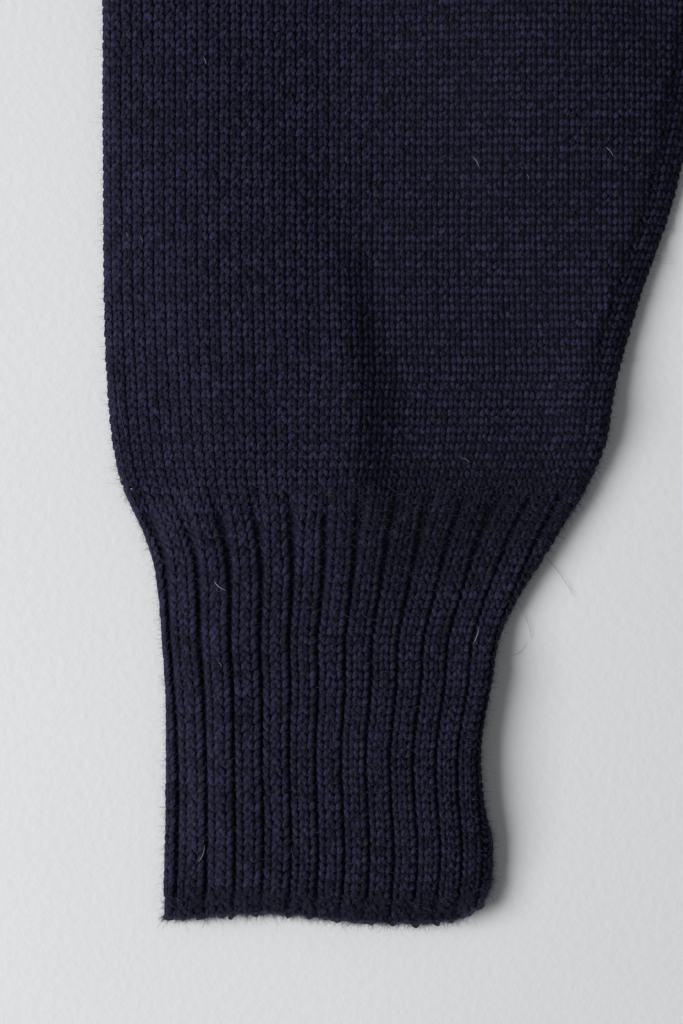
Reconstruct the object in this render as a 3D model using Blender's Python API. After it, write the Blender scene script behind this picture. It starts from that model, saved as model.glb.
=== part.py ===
"""Guernsey fisherman sweater, laid flat on a table with its front up.

The sweater lies with its hem towards -Y, its neck towards +Y and the wearer's right sleeve at -X.
Each knitted piece is one closed wall: the front and back are sheets that meet at a rolled fold down
each side and along each shoulder, and the sleeves, cuffs and neckband are flattened tubes, open at
both ends. The underside is flat. Units are metres.
"""
import math

import bmesh
import bpy
import numpy as np

MM = 0.001

# Knitted cloth
WALL = 3.0 * MM                 # thickness of the knitting
AIR = 0.9 * MM                  # space between the two layers where they lie closest
SEAM = 0.3 * MM                 # space between two pieces at a seam
LIFT = 3.0 * MM                 # how far the soft folds raise the upper layer, at most
STACK = 2 * WALL + AIR          # height of the two layers
MIDDLE = STACK / 2              # height of the fold line between them
FOLD = STACK / 2                # radius of a fold, outside
FOLD_INSIDE = FOLD - WALL       # radius of a fold, inside

# Body
CHEST_HALF = 260 * MM           # half the width across the chest
BODY = 660 * MM                 # from the lower edge to the shoulder beside the neck
WELT = 65 * MM                  # depth of the welt
WELT_RIDGES = 13                # garter ridges up the welt
RIDGE_DEPTH = 0.8 * MM
NECK_HALF = 95 * MM             # half the width of the neck
SHOULDER_FALL = 49 * MM         # how far the shoulder slopes down
FRONT_NECK_DROP = 55 * MM
BACK_NECK_DROP = 12 * MM
SIDE_RAMP = 22 * MM             # length over which a side fold opens out flat

# Neckband
BAND_RISE = 40 * MM             # from the shoulder to the band's top edge, beside the neck
BAND_TOP_HALF = 84 * MM         # half the width of the band's top edge
BAND_FRONT_DIP = 50 * MM        # how far the top edge dips at the front
BAND_BACK_DIP = 6 * MM
BAND_RIBS = 21
BAND_SEAM = 0.45 * MM           # measured along Y, because the neckline slants

# Sleeve and cuff
SLEEVE = 530 * MM               # from the shoulder to the cuff's end, down the outer edge
ARMHOLE = 226.5 * MM            # flat depth of the armhole
STRAIGHT = 252 * MM             # the sleeve runs straight from the cuff's end up to here
CUFF = 118 * MM                 # depth of the cuff
SLEEVE_LEAN = math.radians(40)      # the straight part, from the -Y direction towards the side
SHOULDER_LEAN = math.radians(76)    # the outer edge where it leaves the shoulder
ARMHOLE_LEAN = math.radians(82)     # the armhole seam, from the X direction downwards
BEND_POWER = 1.25               # how soon the bend below the shoulder ends
EDGE_STEPS = 1060               # steps down the outer edge for working out its line
CUFF_RIBS = 12
RIB_DEPTH = 1.3 * MM            # how deep the purl stitches sink between the ribs
RIB_FADE = 9 * MM               # the ribs rise over this length at the top of the cuff
CORNER_CUT = 11 * MM            # the cuff's inner lower corner is round
CORNER_FROM = 0.863              # share of the width where that corner starts
CORNER_FADE = 30 * MM

# The sleeve's flat outline: distance up from the cuff's end, how far the outer edge stands in from
# a straight line, and the width across the flattened tube
SLEEVE_OUTLINE = [  # along, inset, width, all in mm
    (0, 16.6, 91.2),
    (16, 17.0, 90.6),
    (32, 17.3, 88.0),
    (44, 17.4, 87.0),
    (65, 17.1, 90.4),
    (77, 16.2, 93.5),
    (88, 15.4, 99.6),
    (98, 13.8, 107.5),
    (109, 9.8, 118.3),
    (118, 5.6, 128.0),
    (131, 2.5, 136.7),
    (143, 1.3, 139.8),
    (170, 0.2, 148.2),
    (198, 0.0, 158.0),
    (225, 0.0, 163.8),
    (252, 0.0, 168.5),
    (330, 0.0, 187.0),
    (420, 0.0, 207.0),
    (530, 0.0, 226.5),
]

# The cuff's rib boundaries, as shares of its width between the folds, from the outer edge. A boundary
# past 0 or 1 lies round the fold
RIB_SPREAD = [  # along (mm), first boundary, first rib, last rib
    (0, 0.000, 0.0965, 0.0686),
    (32, 0.000, 0.1000, 0.0708),
    (88, -0.010, 0.0955, 0.0747),
    (99, 0.000, 0.0900, 0.0748),
    (118, 0.008, 0.0885, 0.0738),
]
RIB_MARGIN = 0.006              # the outermost boundaries keep this share away from the folds

# Soft folds of the upper layer. Each is a ridge, or a trough where its height is below 0, along a
# straight line. Height is a share of LIFT.
SLEEVE_FOLDS = [  # side, from along, from across, to along, to across, half width (mm), height
    ("right", 255, 14, 130, 49, 49, 0.94),
    ("right", 145, 51, 143, 73, 26, 0.24),
    ("right", 196, 89, 100, 83, 21, -0.26),
    ("right", 258, 61, 186, 107, 34, 0.25),
    ("right", 175, 142, 106, 136, 33, 0.49),
    ("right", 301, 100, 227, 130, 45, 0.80),
    ("right", 102, 35, 22, 40, 26, 0.80),
    ("right", 103, 82, 34, 67, 47, 0.94),
    ("right", 79, 82, 119, 150, 26, -0.53),
    ("right", 69, 115, 22, 99, 22, 0.39),
    ("right", 127, 80, 134, 112, 19, -0.40),
    ("left", 200, 34, 130, 46, 40, 0.66),
    ("left", 214, 74, 118, 66, 15, -0.70),
    ("left", 196, 104, 124, 96, 46, 0.74),
    ("left", 104, 62, 10, 58, 50, 0.60),
    ("both", 330, 70, 262, 60, 52, 0.50),
    ("both", 505, 150, 430, 60, 24, 0.62),
    ("both", 480, 190, 372, 128, 22, 0.74),
    ("both", 430, 198, 350, 172, 20, 0.62),
]
BODY_FOLDS = [  # from x, from y, to x, to y, half width (mm), height; y is up from the lower edge
    (-226, 418, -120, 548, 30, 0.60),
    (-234, 382, -112, 446, 28, 0.56),
    (230, 414, 132, 560, 28, 0.58),
    (236, 384, 112, 424, 28, 0.54),
    (-168, 96, -112, 330, 44, 0.44),
    (176, 84, 120, 300, 48, 0.48),
    (-16, 262, 34, 452, 54, 0.36),
    (-70, 92, 44, 136, 40, 0.30),
]

# Where the pieces lie
TOTAL_LENGTH = BODY + BAND_RISE
HEM_Y = -TOTAL_LENGTH / 2
WELT_Y = HEM_Y + WELT
NECK_Y = HEM_Y + BODY
SHOULDER_Y = NECK_Y - SHOULDER_FALL
UNDERARM_Y = SHOULDER_Y - ARMHOLE * math.sin(ARMHOLE_LEAN)
SHOULDER_HALF = CHEST_HALF + ARMHOLE * math.cos(ARMHOLE_LEAN)

YARN_COLOR = (0.0103, 0.0100, 0.0212, 1.0)
YARN_ROUGHNESS = 0.9


def smooth(value):
    """0 below 0, 1 above 1, with a soft S between."""
    share = np.clip(value, 0.0, 1.0)
    return share * share * (3 - 2 * share)


def column(table, index):
    """One column of a table of rows."""
    return np.array([row[index] for row in table], dtype=float)


def follow(table, index, along):
    """Read a table's column at any distance along, on a curve that keeps its rows' slopes."""
    places = column(table, 0) * MM
    values = column(table, index)
    slopes = np.gradient(values, places)
    spot = np.clip(along, places[0], places[-1])
    row = np.clip(np.searchsorted(places, spot, side="right") - 1, 0, len(places) - 2)
    step = places[row + 1] - places[row]
    t = (spot - places[row]) / step
    start = values[row] * (1 + 2 * t) * (1 - t) ** 2 + slopes[row] * step * t * (1 - t) ** 2
    end = values[row + 1] * t * t * (3 - 2 * t) - slopes[row + 1] * step * t * t * (1 - t)
    return start + end


# --- The sleeve's place -------------------------------------------------------------------------

def bend_share(down):
    """1 at the shoulder and 0 where the sleeve runs straight, at a distance down the outer edge."""
    return np.clip(1 - down / (SLEEVE - STRAIGHT), 0.0, 1.0) ** BEND_POWER


def sleeve_edge():
    """The sleeve's outer edge at -X, as distances down from the shoulder and their X and Y."""
    down = np.linspace(0.0, SLEEVE, EDGE_STEPS + 1)
    lean = SLEEVE_LEAN + (SHOULDER_LEAN - SLEEVE_LEAN) * bend_share(down)
    step = down[1] - down[0]
    sideways = np.concatenate([[0.0], np.cumsum((np.sin(lean[1:]) + np.sin(lean[:-1])) / 2) * step])
    downwards = np.concatenate([[0.0], np.cumsum((np.cos(lean[1:]) + np.cos(lean[:-1])) / 2) * step])
    start_x = -SHOULDER_HALF - SEAM * math.sin(ARMHOLE_LEAN)
    start_y = SHOULDER_Y - SEAM * math.cos(ARMHOLE_LEAN)
    return down, start_x - sideways, start_y - downwards


EDGE = sleeve_edge()


def sleeve_place(along, across, side):
    """X and Y of a point on a sleeve, from its distance up from the cuff's end and across."""
    down = SLEEVE - np.asarray(along, dtype=float)
    turn = SLEEVE_LEAN + (ARMHOLE_LEAN - SLEEVE_LEAN) * bend_share(down)
    # Below the cuff's end the edge runs on straight
    past = np.maximum(down - SLEEVE, 0.0)
    x = np.interp(down, EDGE[0], EDGE[1]) - past * math.sin(SLEEVE_LEAN) + across * np.cos(turn)
    y = np.interp(down, EDGE[0], EDGE[2]) - past * math.cos(SLEEVE_LEAN) - across * np.sin(turn)
    return (x if side == "right" else -x), y


# --- Soft folds ---------------------------------------------------------------------------------

def fold_lines():
    """Every fold as its two ends in X and Y, its half width and its height."""
    lines = []
    for side, along_a, across_a, along_b, across_b, half, height in SLEEVE_FOLDS:
        for name in (("right", "left") if side == "both" else (side,)):
            start = sleeve_place(along_a * MM, across_a * MM, name)
            end = sleeve_place(along_b * MM, across_b * MM, name)
            lines.append((start, end, half * MM, height))
    for x_a, y_a, x_b, y_b, half, height in BODY_FOLDS:
        start = (x_a * MM, HEM_Y + y_a * MM)
        end = (x_b * MM, HEM_Y + y_b * MM)
        lines.append((start, end, half * MM, height))
    return lines


FOLD_LINES = fold_lines()


def upper_height(x, y):
    """Height of the upper layer's outer face."""
    raised = np.zeros(np.broadcast(x, y).shape)
    for (ax, ay), (bx, by), half, height in FOLD_LINES:
        length = (bx - ax) ** 2 + (by - ay) ** 2
        t = np.clip(((x - ax) * (bx - ax) + (y - ay) * (by - ay)) / length, 0.0, 1.0)
        away = np.hypot(x - ax - t * (bx - ax), y - ay - t * (by - ay)) / half
        raised = raised + height * np.clip(1 - away * away, 0.0, 1.0) ** 2
    return STACK + LIFT * smooth(raised)


# --- Meshes -------------------------------------------------------------------------------------

def knit_material(name):
    """Matt navy worsted wool."""
    material = bpy.data.materials.new(name)
    material.use_nodes = True
    shader = material.node_tree.nodes["Principled BSDF"]
    shader.inputs["Base Color"].default_value = YARN_COLOR
    shader.inputs["Roughness"].default_value = YARN_ROUGHNESS
    shader.inputs["Metallic"].default_value = 0.0
    return material


def closed_wall(name, outer, inner, around):
    """Join two equal grids of points, rows x columns x 3, into one closed wall.

    With around, the columns run round a tube, which stays open at its first and last row."""
    rows, columns = outer.shape[:2]
    mesh = bmesh.new()
    skins = []
    for grid in (outer, inner):
        skins.append([[mesh.verts.new(point) for point in row] for row in grid])
    last = columns if around else columns - 1
    for r in range(rows - 1):
        for c in range(last):
            n = (c + 1) % columns
            front, lining = skins
            mesh.faces.new((front[r][c], front[r][n], front[r + 1][n], front[r + 1][c]))
            mesh.faces.new((lining[r][c], lining[r + 1][c], lining[r + 1][n], lining[r][n]))
    for r in (0, rows - 1):
        for c in range(last):
            n = (c + 1) % columns
            mesh.faces.new((skins[0][r][c], skins[1][r][c], skins[1][r][n], skins[0][r][n]))
    if not around:
        for c in (0, columns - 1):
            for r in range(rows - 1):
                mesh.faces.new((skins[0][r][c], skins[0][r + 1][c], skins[1][r + 1][c], skins[1][r][c]))
    bmesh.ops.recalc_face_normals(mesh, faces=mesh.faces)
    if mesh.calc_volume(signed=True) < 0:
        bmesh.ops.reverse_faces(mesh, faces=mesh.faces)
    data = bpy.data.meshes.new(name)
    mesh.to_mesh(data)
    mesh.free()
    data.shade_smooth()
    data.set_sharp_from_angle(angle=math.radians(50))
    data.materials.append(knit_material(name))
    piece = bpy.data.objects.new(name, data)
    bpy.context.collection.objects.link(piece)
    return piece


def grid_points(x, y, z):
    return np.stack(np.broadcast_arrays(x, y, z), axis=-1)


# --- Front, back and welts ----------------------------------------------------------------------

SLEEVE_COLUMNS = 20                             # points across a sleeve's upper layer
NECK_COLUMNS = 14                               # spaces across the neck edge of a panel
ROLL = np.radians([0.0, 30.0, 60.0, 90.0])      # steps round a quarter of a fold


def body_half(y):
    """Half the body's width at a height: straight to the underarm, then out to the shoulder."""
    return np.interp(y, [UNDERARM_Y, SHOULDER_Y], [CHEST_HALF, SHOULDER_HALF])


def neckline(x, drop):
    """The neck edge of the front or back, as a line through a fixed set of points."""
    knots = np.linspace(-NECK_HALF, NECK_HALF, NECK_COLUMNS + 1)
    return np.interp(x, knots, NECK_Y - drop * (1 - (knots / NECK_HALF) ** 2))


def top_edge(x, drop):
    """The shoulders' and neck's edge."""
    slope = SHOULDER_FALL / (SHOULDER_HALF - NECK_HALF)
    shoulder = NECK_Y - slope * (np.abs(x) - NECK_HALF)
    return np.where(np.abs(x) < NECK_HALF, neckline(x, drop), shoulder)


def rolled_inset(turn, amount):
    """How far the outer and the inner face stand in from the edge, part way round a fold."""
    flat = FOLD * (1 - np.sin(turn))
    inside = WALL + FOLD_INSIDE * (1 - np.sin(turn))
    return flat, (1 - amount) * flat + amount * inside


def body_panel(name, drop, upper, shoulder_columns, low_rows, high_rows):
    """The front or the back: a sheet whose side and shoulder edges roll half way round a fold.

    low_rows run up to the underarm, and high_rows on up to the shoulders and neck."""
    reach = SHOULDER_HALF - FOLD
    neck = np.linspace(-NECK_HALF, NECK_HALF, NECK_COLUMNS + 1) / reach
    left = np.linspace(-1.0, neck[0], shoulder_columns + 1)[:-1]
    inner_columns = np.concatenate([left, neck, -left[::-1]])
    turned = len(ROLL) - 1
    share = np.concatenate([-np.ones(turned), inner_columns, np.ones(turned)])
    side = np.sign(share)
    turn_x = np.concatenate([ROLL[:0:-1], np.zeros(len(inner_columns)), ROLL[1:]])
    edge_column = np.concatenate([np.ones(turned), np.zeros(len(inner_columns)), np.ones(turned)])
    low = np.concatenate([np.linspace(0.0, 1.0, low_rows + 1), np.ones(high_rows + turned)])[:, None]
    high = np.concatenate([np.zeros(low_rows), np.linspace(0.0, 1.0, high_rows + 1),
                           np.ones(turned)])[:, None]
    turn_y = np.concatenate([np.zeros(low_rows + high_rows + 1), ROLL[1:]])[:, None]
    hem = WELT_Y + SEAM / 2

    # The column's X where it reaches the top edge
    top_x = np.where(edge_column > 0, side * (SHOULDER_HALF - FOLD * (1 - np.sin(turn_x))), share * reach)
    top_y = top_edge(top_x, drop)
    roll_top = smooth((np.abs(top_x) - NECK_HALF) / (2 * FOLD))
    faces = []
    for inside in (False, True):
        inset_y = rolled_inset(turn_y, roll_top)[int(inside)]
        y = hem + low * (UNDERARM_Y - hem) + high * (top_y - FOLD - UNDERARM_Y)
        y = y + (FOLD - inset_y) * (turn_y > 0)
        half = body_half(y)
        opens_below = smooth((y - WELT_Y) / SIDE_RAMP)
        opens_above = 1 - smooth((y - UNDERARM_Y + SIDE_RAMP) / SIDE_RAMP)
        roll_side = opens_below * opens_above
        inset_x = rolled_inset(turn_x, roll_side)[int(inside)]
        x = np.where(edge_column > 0, side * (half - inset_x), share * (half - FOLD))
        drop_share = 1 - (1 - roll_side * (1 - np.cos(turn_x))) * (1 - roll_top * (1 - np.cos(turn_y)))
        if upper:
            flat = upper_height(x, y) - (WALL if inside else 0.0)
            seam = MIDDLE + SEAM / 2
        else:
            flat = WALL if inside else 0.0
            seam = MIDDLE - SEAM / 2
        faces.append(grid_points(x, y, flat + (seam - flat) * drop_share))
    return closed_wall(name, faces[0], faces[1], around=False)


def welt(name, upper):
    """One welt, open at both sides, so that the hem has a split below each side fold.

    The upper one's face is raised in ridges across. The lower one's face lies flat."""
    x = np.linspace(-CHEST_HALF, CHEST_HALF, 15)[None, :]
    if upper:
        steps = np.arange(2 * WELT_RIDGES + 1)
        y = (HEM_Y + (WELT - SEAM / 2) * steps / steps[-1])[:, None]
        top = upper_height(x, y)
        outer = top - RIDGE_DEPTH * (steps % 2 == 0)[:, None]
        inner = top - WALL
    else:
        y = np.linspace(HEM_Y, WELT_Y - SEAM / 2, 3)[:, None]
        outer = 0.0
        inner = WALL
    return closed_wall(name, grid_points(x, y, outer), grid_points(x, y, inner), around=False)


# --- Flattened tubes: sleeves, cuffs and neckband -----------------------------------------------

def tube_ring(top_shares, bottom_shares):
    """The columns round a flattened tube: share across, turn round the fold, and fold side.

    A turn of 90 degrees is the upper layer and -90 the lower one."""
    arc = np.radians([-60.0, -30.0, 0.0, 30.0, 60.0])
    ring = [(0.0, turn, -1) for turn in arc]
    ring += [(share, math.pi / 2, 0) for share in top_shares]
    ring += [(1.0, turn, 1) for turn in arc[::-1]]
    ring += [(share, -math.pi / 2, 0) for share in bottom_shares[::-1]]
    return np.array(ring).T


def ring_across(ring, width):
    """How far across the outer and the inner face lie."""
    share, turn, side = ring
    centre = FOLD + share * (width - 2 * FOLD)
    reach = side * np.cos(turn)
    return centre + reach * FOLD, centre + reach * FOLD_INSIDE


def ring_height(ring, top, sink):
    """Heights of the outer and the inner face. sink lowers the outer upper face alone."""
    turn = ring[1]
    level = (1 + np.sin(turn)) / 2
    return top * level - sink, WALL + (top - 2 * WALL) * level


def cuff_shares(along):
    """Columns across a cuff: the rib boundaries, and three columns over each rib."""
    first = follow(RIB_SPREAD, 1, along)
    wide = follow(RIB_SPREAD, 2, along)
    narrow = follow(RIB_SPREAD, 3, along)
    return rib_columns(first, wide, narrow, CUFF_RIBS)


def rib_columns(first, wide, narrow, ribs):
    """Shares across for ribs that narrow evenly, and how deep each column sinks."""
    edges = first + np.concatenate([[0.0], np.cumsum(np.linspace(wide, narrow, ribs))])
    edges = np.clip(edges, RIB_MARGIN, 1 - RIB_MARGIN)
    widths = np.diff(edges)
    shares = [0.0]
    sinks = [0.0]
    for k in range(ribs):
        for part, depth in ((0.0, 1.0), (0.24, 0.1), (0.5, 0.0), (0.76, 0.1)):
            shares.append(edges[k] + widths[k] * part)
            sinks.append(depth)
    shares += [edges[-1], 1.0]
    sinks += [1.0, 0.0]
    return np.array(shares), np.array(sinks)


def corner_lift(along, across, width):
    """How far the cuff's inner lower corner is drawn up, so that it is round."""
    out = np.clip((across / width - CORNER_FROM) / (1 - CORNER_FROM), 0.0, 1.0)
    return CORNER_CUT * (1 - np.sqrt(1 - out * out)) * np.clip(1 - along / CORNER_FADE, 0.0, 1.0)


def sleeve_tube(name, side, stations, ribbed):
    """A stretch of sleeve between two stations, measured up from the cuff's end."""
    outer = []
    inner = []
    bottom = np.linspace(0.0, 1.0, 9)
    for along in stations:
        inset = follow(SLEEVE_OUTLINE, 1, along) * MM
        width = follow(SLEEVE_OUTLINE, 2, along) * MM
        if ribbed:
            top, sinks = cuff_shares(along)
            depth = RIB_DEPTH * float(smooth((CUFF - along) / RIB_FADE))
        else:
            top = np.linspace(0.0, 1.0, SLEEVE_COLUMNS)
            sinks = np.zeros(SLEEVE_COLUMNS)
            depth = 0.0
        ring = tube_ring(top, bottom)
        arc = (ring.shape[1] - len(top) - len(bottom)) // 2
        sink = np.zeros(ring.shape[1])
        sink[arc:arc + len(top)] = sinks * depth
        for across, grid, index in zip(ring_across(ring, width), (outer, inner), (0, 1)):
            lifted = along + (corner_lift(along, across, width) if ribbed else 0.0)
            x, y = sleeve_place(lifted, inset + across, side)
            z = ring_height(ring, upper_height(x, y), sink)[index]
            grid.append(grid_points(x, y, z))
    return closed_wall(name, np.array(outer), np.array(inner), around=True)


def neckband():
    """The neckband: a ribbed ring from the neckline up to its own top edge."""
    top, sinks = rib_columns(0.0, 1 / BAND_RIBS, 1 / BAND_RIBS, BAND_RIBS)
    bottom = np.linspace(0.0, 1.0, 21)
    ring = tube_ring(top, bottom)
    arc = (ring.shape[1] - len(top) - len(bottom)) // 2
    sink = np.zeros(ring.shape[1])
    sink[arc:arc + len(top)] = sinks * RIB_DEPTH
    on_front = ring[1] > 0
    grids = ([], [])
    for up in np.linspace(0.0, 1.0, 4):
        half = NECK_HALF + up * (BAND_TOP_HALF - NECK_HALF)
        for across, grid, index in zip(ring_across(ring, 2 * half), grids, (0, 1)):
            spread = across / half - 1
            low_x = spread * NECK_HALF
            low_front = neckline(low_x, FRONT_NECK_DROP)
            low_back = neckline(low_x, BACK_NECK_DROP)
            low = np.where(on_front, low_front, low_back) + BAND_SEAM
            dip = np.where(on_front, BAND_FRONT_DIP, BAND_BACK_DIP)
            high = NECK_Y + BAND_RISE - dip * (1 - spread ** 2)
            x = across - half
            y = low + up * (high - low)
            z = ring_height(ring, upper_height(x, y), sink)[index]
            grid.append(grid_points(x, y, z))
    return closed_wall("neckband", np.array(grids[0]), np.array(grids[1]), around=True)


def main():
    for thing in list(bpy.data.objects):
        bpy.data.objects.remove(thing, do_unlink=True)
    body_panel("front", FRONT_NECK_DROP, True, shoulder_columns=6, low_rows=9, high_rows=8)
    body_panel("back", BACK_NECK_DROP, False, shoulder_columns=3, low_rows=4, high_rows=3)
    welt("welt_front", True)
    welt("welt_back", False)
    cuff_rows = np.array([0, 3, 12, 26, 44, 62, 80, 96, 108, 117.85]) * MM
    sleeve_rows = np.array([118.15, 128, 140, 154, 170, 188, 208, 230, 252, 280, 310, 342, 374, 408,
                            442, 476, 504, 530]) * MM
    for side in ("right", "left"):
        sleeve_tube("cuff_" + side, side, cuff_rows, ribbed=True)
        sleeve_tube("sleeve_" + side, side, sleeve_rows, ribbed=False)
    neckband()


main()
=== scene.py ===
"""Dresses the flat-laid guernsey: knitted shells on its solids, the stitches on them and loose fibres.

The upper faces of the sleeves, cuffs, front welt and neckband are functions of two lengths: one across
or round the piece, and one up it. Stitches and short fibres are laid out on those faces, and every upper
layer takes its height from the same folds. Units are metres, and the sweater lies with its front up and
the right sleeve at -X.
"""
import math

import bmesh
import bpy
import numpy as np
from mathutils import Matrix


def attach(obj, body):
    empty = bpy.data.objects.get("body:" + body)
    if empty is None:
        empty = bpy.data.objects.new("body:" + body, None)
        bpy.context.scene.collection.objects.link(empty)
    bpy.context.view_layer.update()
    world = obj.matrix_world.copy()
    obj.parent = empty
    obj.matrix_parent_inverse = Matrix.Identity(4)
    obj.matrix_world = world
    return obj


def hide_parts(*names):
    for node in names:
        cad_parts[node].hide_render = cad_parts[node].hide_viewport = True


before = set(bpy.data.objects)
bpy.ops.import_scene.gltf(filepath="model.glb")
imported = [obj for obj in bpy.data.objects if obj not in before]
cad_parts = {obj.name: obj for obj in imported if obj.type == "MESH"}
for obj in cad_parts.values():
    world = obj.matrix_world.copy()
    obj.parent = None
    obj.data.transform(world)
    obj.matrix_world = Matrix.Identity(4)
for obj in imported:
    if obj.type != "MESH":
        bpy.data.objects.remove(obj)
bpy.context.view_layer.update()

bl_info = {
    "name": "Guernsey sweater",
    "version": (1, 0, 0),
    "blender": (4, 5, 0),
    "location": "3D view > Sidebar > Guernsey",
    "description": "Knits the guernsey's cloth, stitch by stitch, on its plain solids",
    "category": "Object",
}

MM = 0.001
BODY = "root"                       # the one rigid body that every piece rides on

# Knitted cloth
WALL = 3.0 * MM                     # thickness of the knitting
AIR = 0.9 * MM                      # space between the two layers where they lie closest
SEAM = 0.3 * MM                     # space between two pieces at a seam
LIFT = 4.8 * MM                     # how far the soft folds raise the upper layer, at most
SLACK = 0.7 * MM                    # how far it sags between them
STACK = 2 * WALL + AIR              # height of the two layers
MIDDLE = STACK / 2                  # height of the fold line between them
FOLD = STACK / 2                    # radius of a fold, outside
QUARTER = FOLD * math.pi / 2        # length round a quarter of a fold
BED = 0.68 * MM                     # how far a shell lies below the stitches' crests

# Body
CHEST_HALF = 260 * MM
SHOULDER_TO_HEM = 660 * MM
WELT = 65 * MM
WELT_RIDGES = 13
RIDGE_DEPTH = 0.8 * MM
NECK_HALF = 95 * MM
SHOULDER_FALL = 49 * MM
FRONT_NECK_DROP = 55 * MM
BACK_NECK_DROP = 12 * MM
SIDE_RAMP = 22 * MM

# Neckband
BAND_RISE = 40 * MM
BAND_TOP_HALF = 84 * MM
BAND_FRONT_DIP = 50 * MM
BAND_BACK_DIP = 6 * MM
BAND_RIBS = 21
BAND_SEAM = 0.45 * MM

# Sleeve and cuff
SLEEVE = 530 * MM
ARMHOLE = 226.5 * MM
STRAIGHT = 252 * MM
CUFF = 118 * MM
SLEEVE_LEAN = math.radians(40)
SHOULDER_LEAN = math.radians(76)
ARMHOLE_LEAN = math.radians(82)
BEND_POWER = 1.25
EDGE_STEPS = 1060
CUFF_RIBS = 12
RIB_DEPTH = 1.15 * MM               # how deep the purl stitches sink between the ribs
CORNER_CUT = 11 * MM
CORNER_FROM = 0.863
CORNER_FADE = 30 * MM
GATHER = 150 * MM                   # below here the wales close up as the sleeve draws into its cuff
HEM_LUMPS = 7.5 * MM                # the last of the cuff, where its cast-on edge is thick and lumpy
CAST_ON_ROWS = 2.5                  # rows that the cast-on edge takes up
CAST_ON_PITCH = 2.1 * MM            # and the length of its loops
CAST_ON_HEIGHTS = (0.4 * MM, 2.0 * MM, 3.6 * MM, 5.2 * MM)  # of its rows, up from the cuff's end
CAST_ON_DRIFT = 0.38 * MM           # how unevenly they lie, up and down
CAST_ON_HALF = 1.05 * MM            # half a loop's length
CAST_ON_RADIUS = 0.95 * MM          # and half its thickness
KNOB_HALF = 0.8 * MM                # half the length of a knob below a gap
PURL_RADIUS = 0.55 * MM
PURL_LIFT = -0.5 * MM               # from the bottom of the gap to the middle of a purl stitch
# the purl stitches' tint: painted shade at the bottom of the gaps between ribs
PURL_SHADE = -0.9
RIB_WALE = 3.1 * MM                 # the widest that a rib's wales lie
RIB_WALE_LESS = 0.35 * MM           # how much narrower they are at the cuff's top
RIB_NARROWS = 30 * MM               # the length over which they narrow to that
RIB_WALE_SHARE = 0.405              # the most of its rib that one takes
GAP_FADE = 3.5 * MM                 # how far above the cuff the gaps between ribs run out
HEM_GROOVE = 0.8 * MM               # depth of the groove above the cast-on edge
HEM_GROOVE_AT = 6.0 * MM            # its place, up from the cuff's end
HEM_GROOVE_REACH = 2.6 * MM         # and how far it reaches up and down
SHADE_FROM = 0.40                  # painted shade in the gathers starts at this share of the way round
SHADE_AT = 110 * MM                # where that painted shade is darkest, up from the cuff's end
SHADE_REACH = 14 * MM              # how far that reaches up and down
HEM_SHADE = 0.8                    # how much painted shade the cuff's end gets
EDGE_WALES = 3                      # wales that run along the inner edge, past the decreases
EDGE_STRIP = 9 * MM                 # their width
RIB_MEET = 16 * MM                  # the top of the cuff, where its wales run on from the sleeve's
SEAM_DIP = 0.55 * MM                # how deep the cloth dips along the line of decreases
CLOSE_UP = 257 * MM                 # up to here a sleeve has its stitches, and above it is plain cloth
EDGE_PRESS = 0.42                   # how much flatter a sleeve's inner edge lies, above the cuff
PRESS_REACH = 13 * MM               # and how far in from the edge
LOWER_COLUMNS = 16                  # steps across a sleeve's flat underside

SLEEVE_OUTLINE = [  # along, inset, width, all in mm
    (0, 16.6, 91.2),
    (16, 17.0, 90.6),
    (32, 17.3, 88.0),
    (44, 17.4, 87.0),
    (65, 17.1, 90.4),
    (77, 16.2, 93.5),
    (88, 15.4, 99.6),
    (98, 13.8, 107.5),
    (109, 9.8, 118.3),
    (118, 5.6, 128.0),
    (131, 2.5, 136.7),
    (143, 1.3, 139.8),
    (170, 0.2, 148.2),
    (198, 0.0, 158.0),
    (225, 0.0, 163.8),
    (252, 0.0, 168.5),
    (330, 0.0, 187.0),
    (420, 0.0, 207.0),
    (530, 0.0, 226.5),
]
RIB_SPREAD = [  # along (mm), first boundary, first rib, last rib; shares of the width between folds
    (0, 0.000, 0.0965, 0.0686),
    (32, 0.000, 0.1000, 0.0708),
    (88, -0.010, 0.0955, 0.0747),
    (99, 0.000, 0.0900, 0.0748),
    (118, 0.008, 0.0885, 0.0738),
]
SLEEVE_FOLDS = [  # side, from along, from across, to along, to across, half width (mm), height
    ("right", 285, 6, 130, 49, 49, 0.94),
    ("right", 145, 51, 143, 73, 26, 0.24),
    ("right", 196, 89, 100, 83, 21, -0.26),
    ("right", 258, 61, 186, 107, 34, 0.25),
    ("right", 175, 142, 106, 136, 33, 0.49),
    ("right", 301, 100, 227, 130, 45, 0.80),
    ("right", 102, 35, 22, 40, 26, 0.80),
    ("right", 103, 82, 34, 67, 47, 0.94),
    ("right", 79, 82, 119, 150, 26, -0.53),
    ("right", 69, 115, 22, 99, 22, 0.39),
    ("right", 127, 80, 134, 112, 19, -0.40),
    ("right", 176, 66, 142, 68, 9, 0.15),
    ("left", 200, 34, 130, 46, 40, 0.66),
    ("left", 214, 74, 118, 66, 15, -0.70),
    ("left", 196, 104, 124, 96, 46, 0.74),
    ("left", 104, 62, 10, 58, 50, 0.60),
    ("both", 330, 70, 284, 64, 42, 0.50),
    ("both", 505, 150, 430, 60, 24, 0.62),
    ("both", 480, 190, 372, 128, 22, 0.74),
    ("both", 430, 198, 350, 172, 20, 0.62),
]
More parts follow.
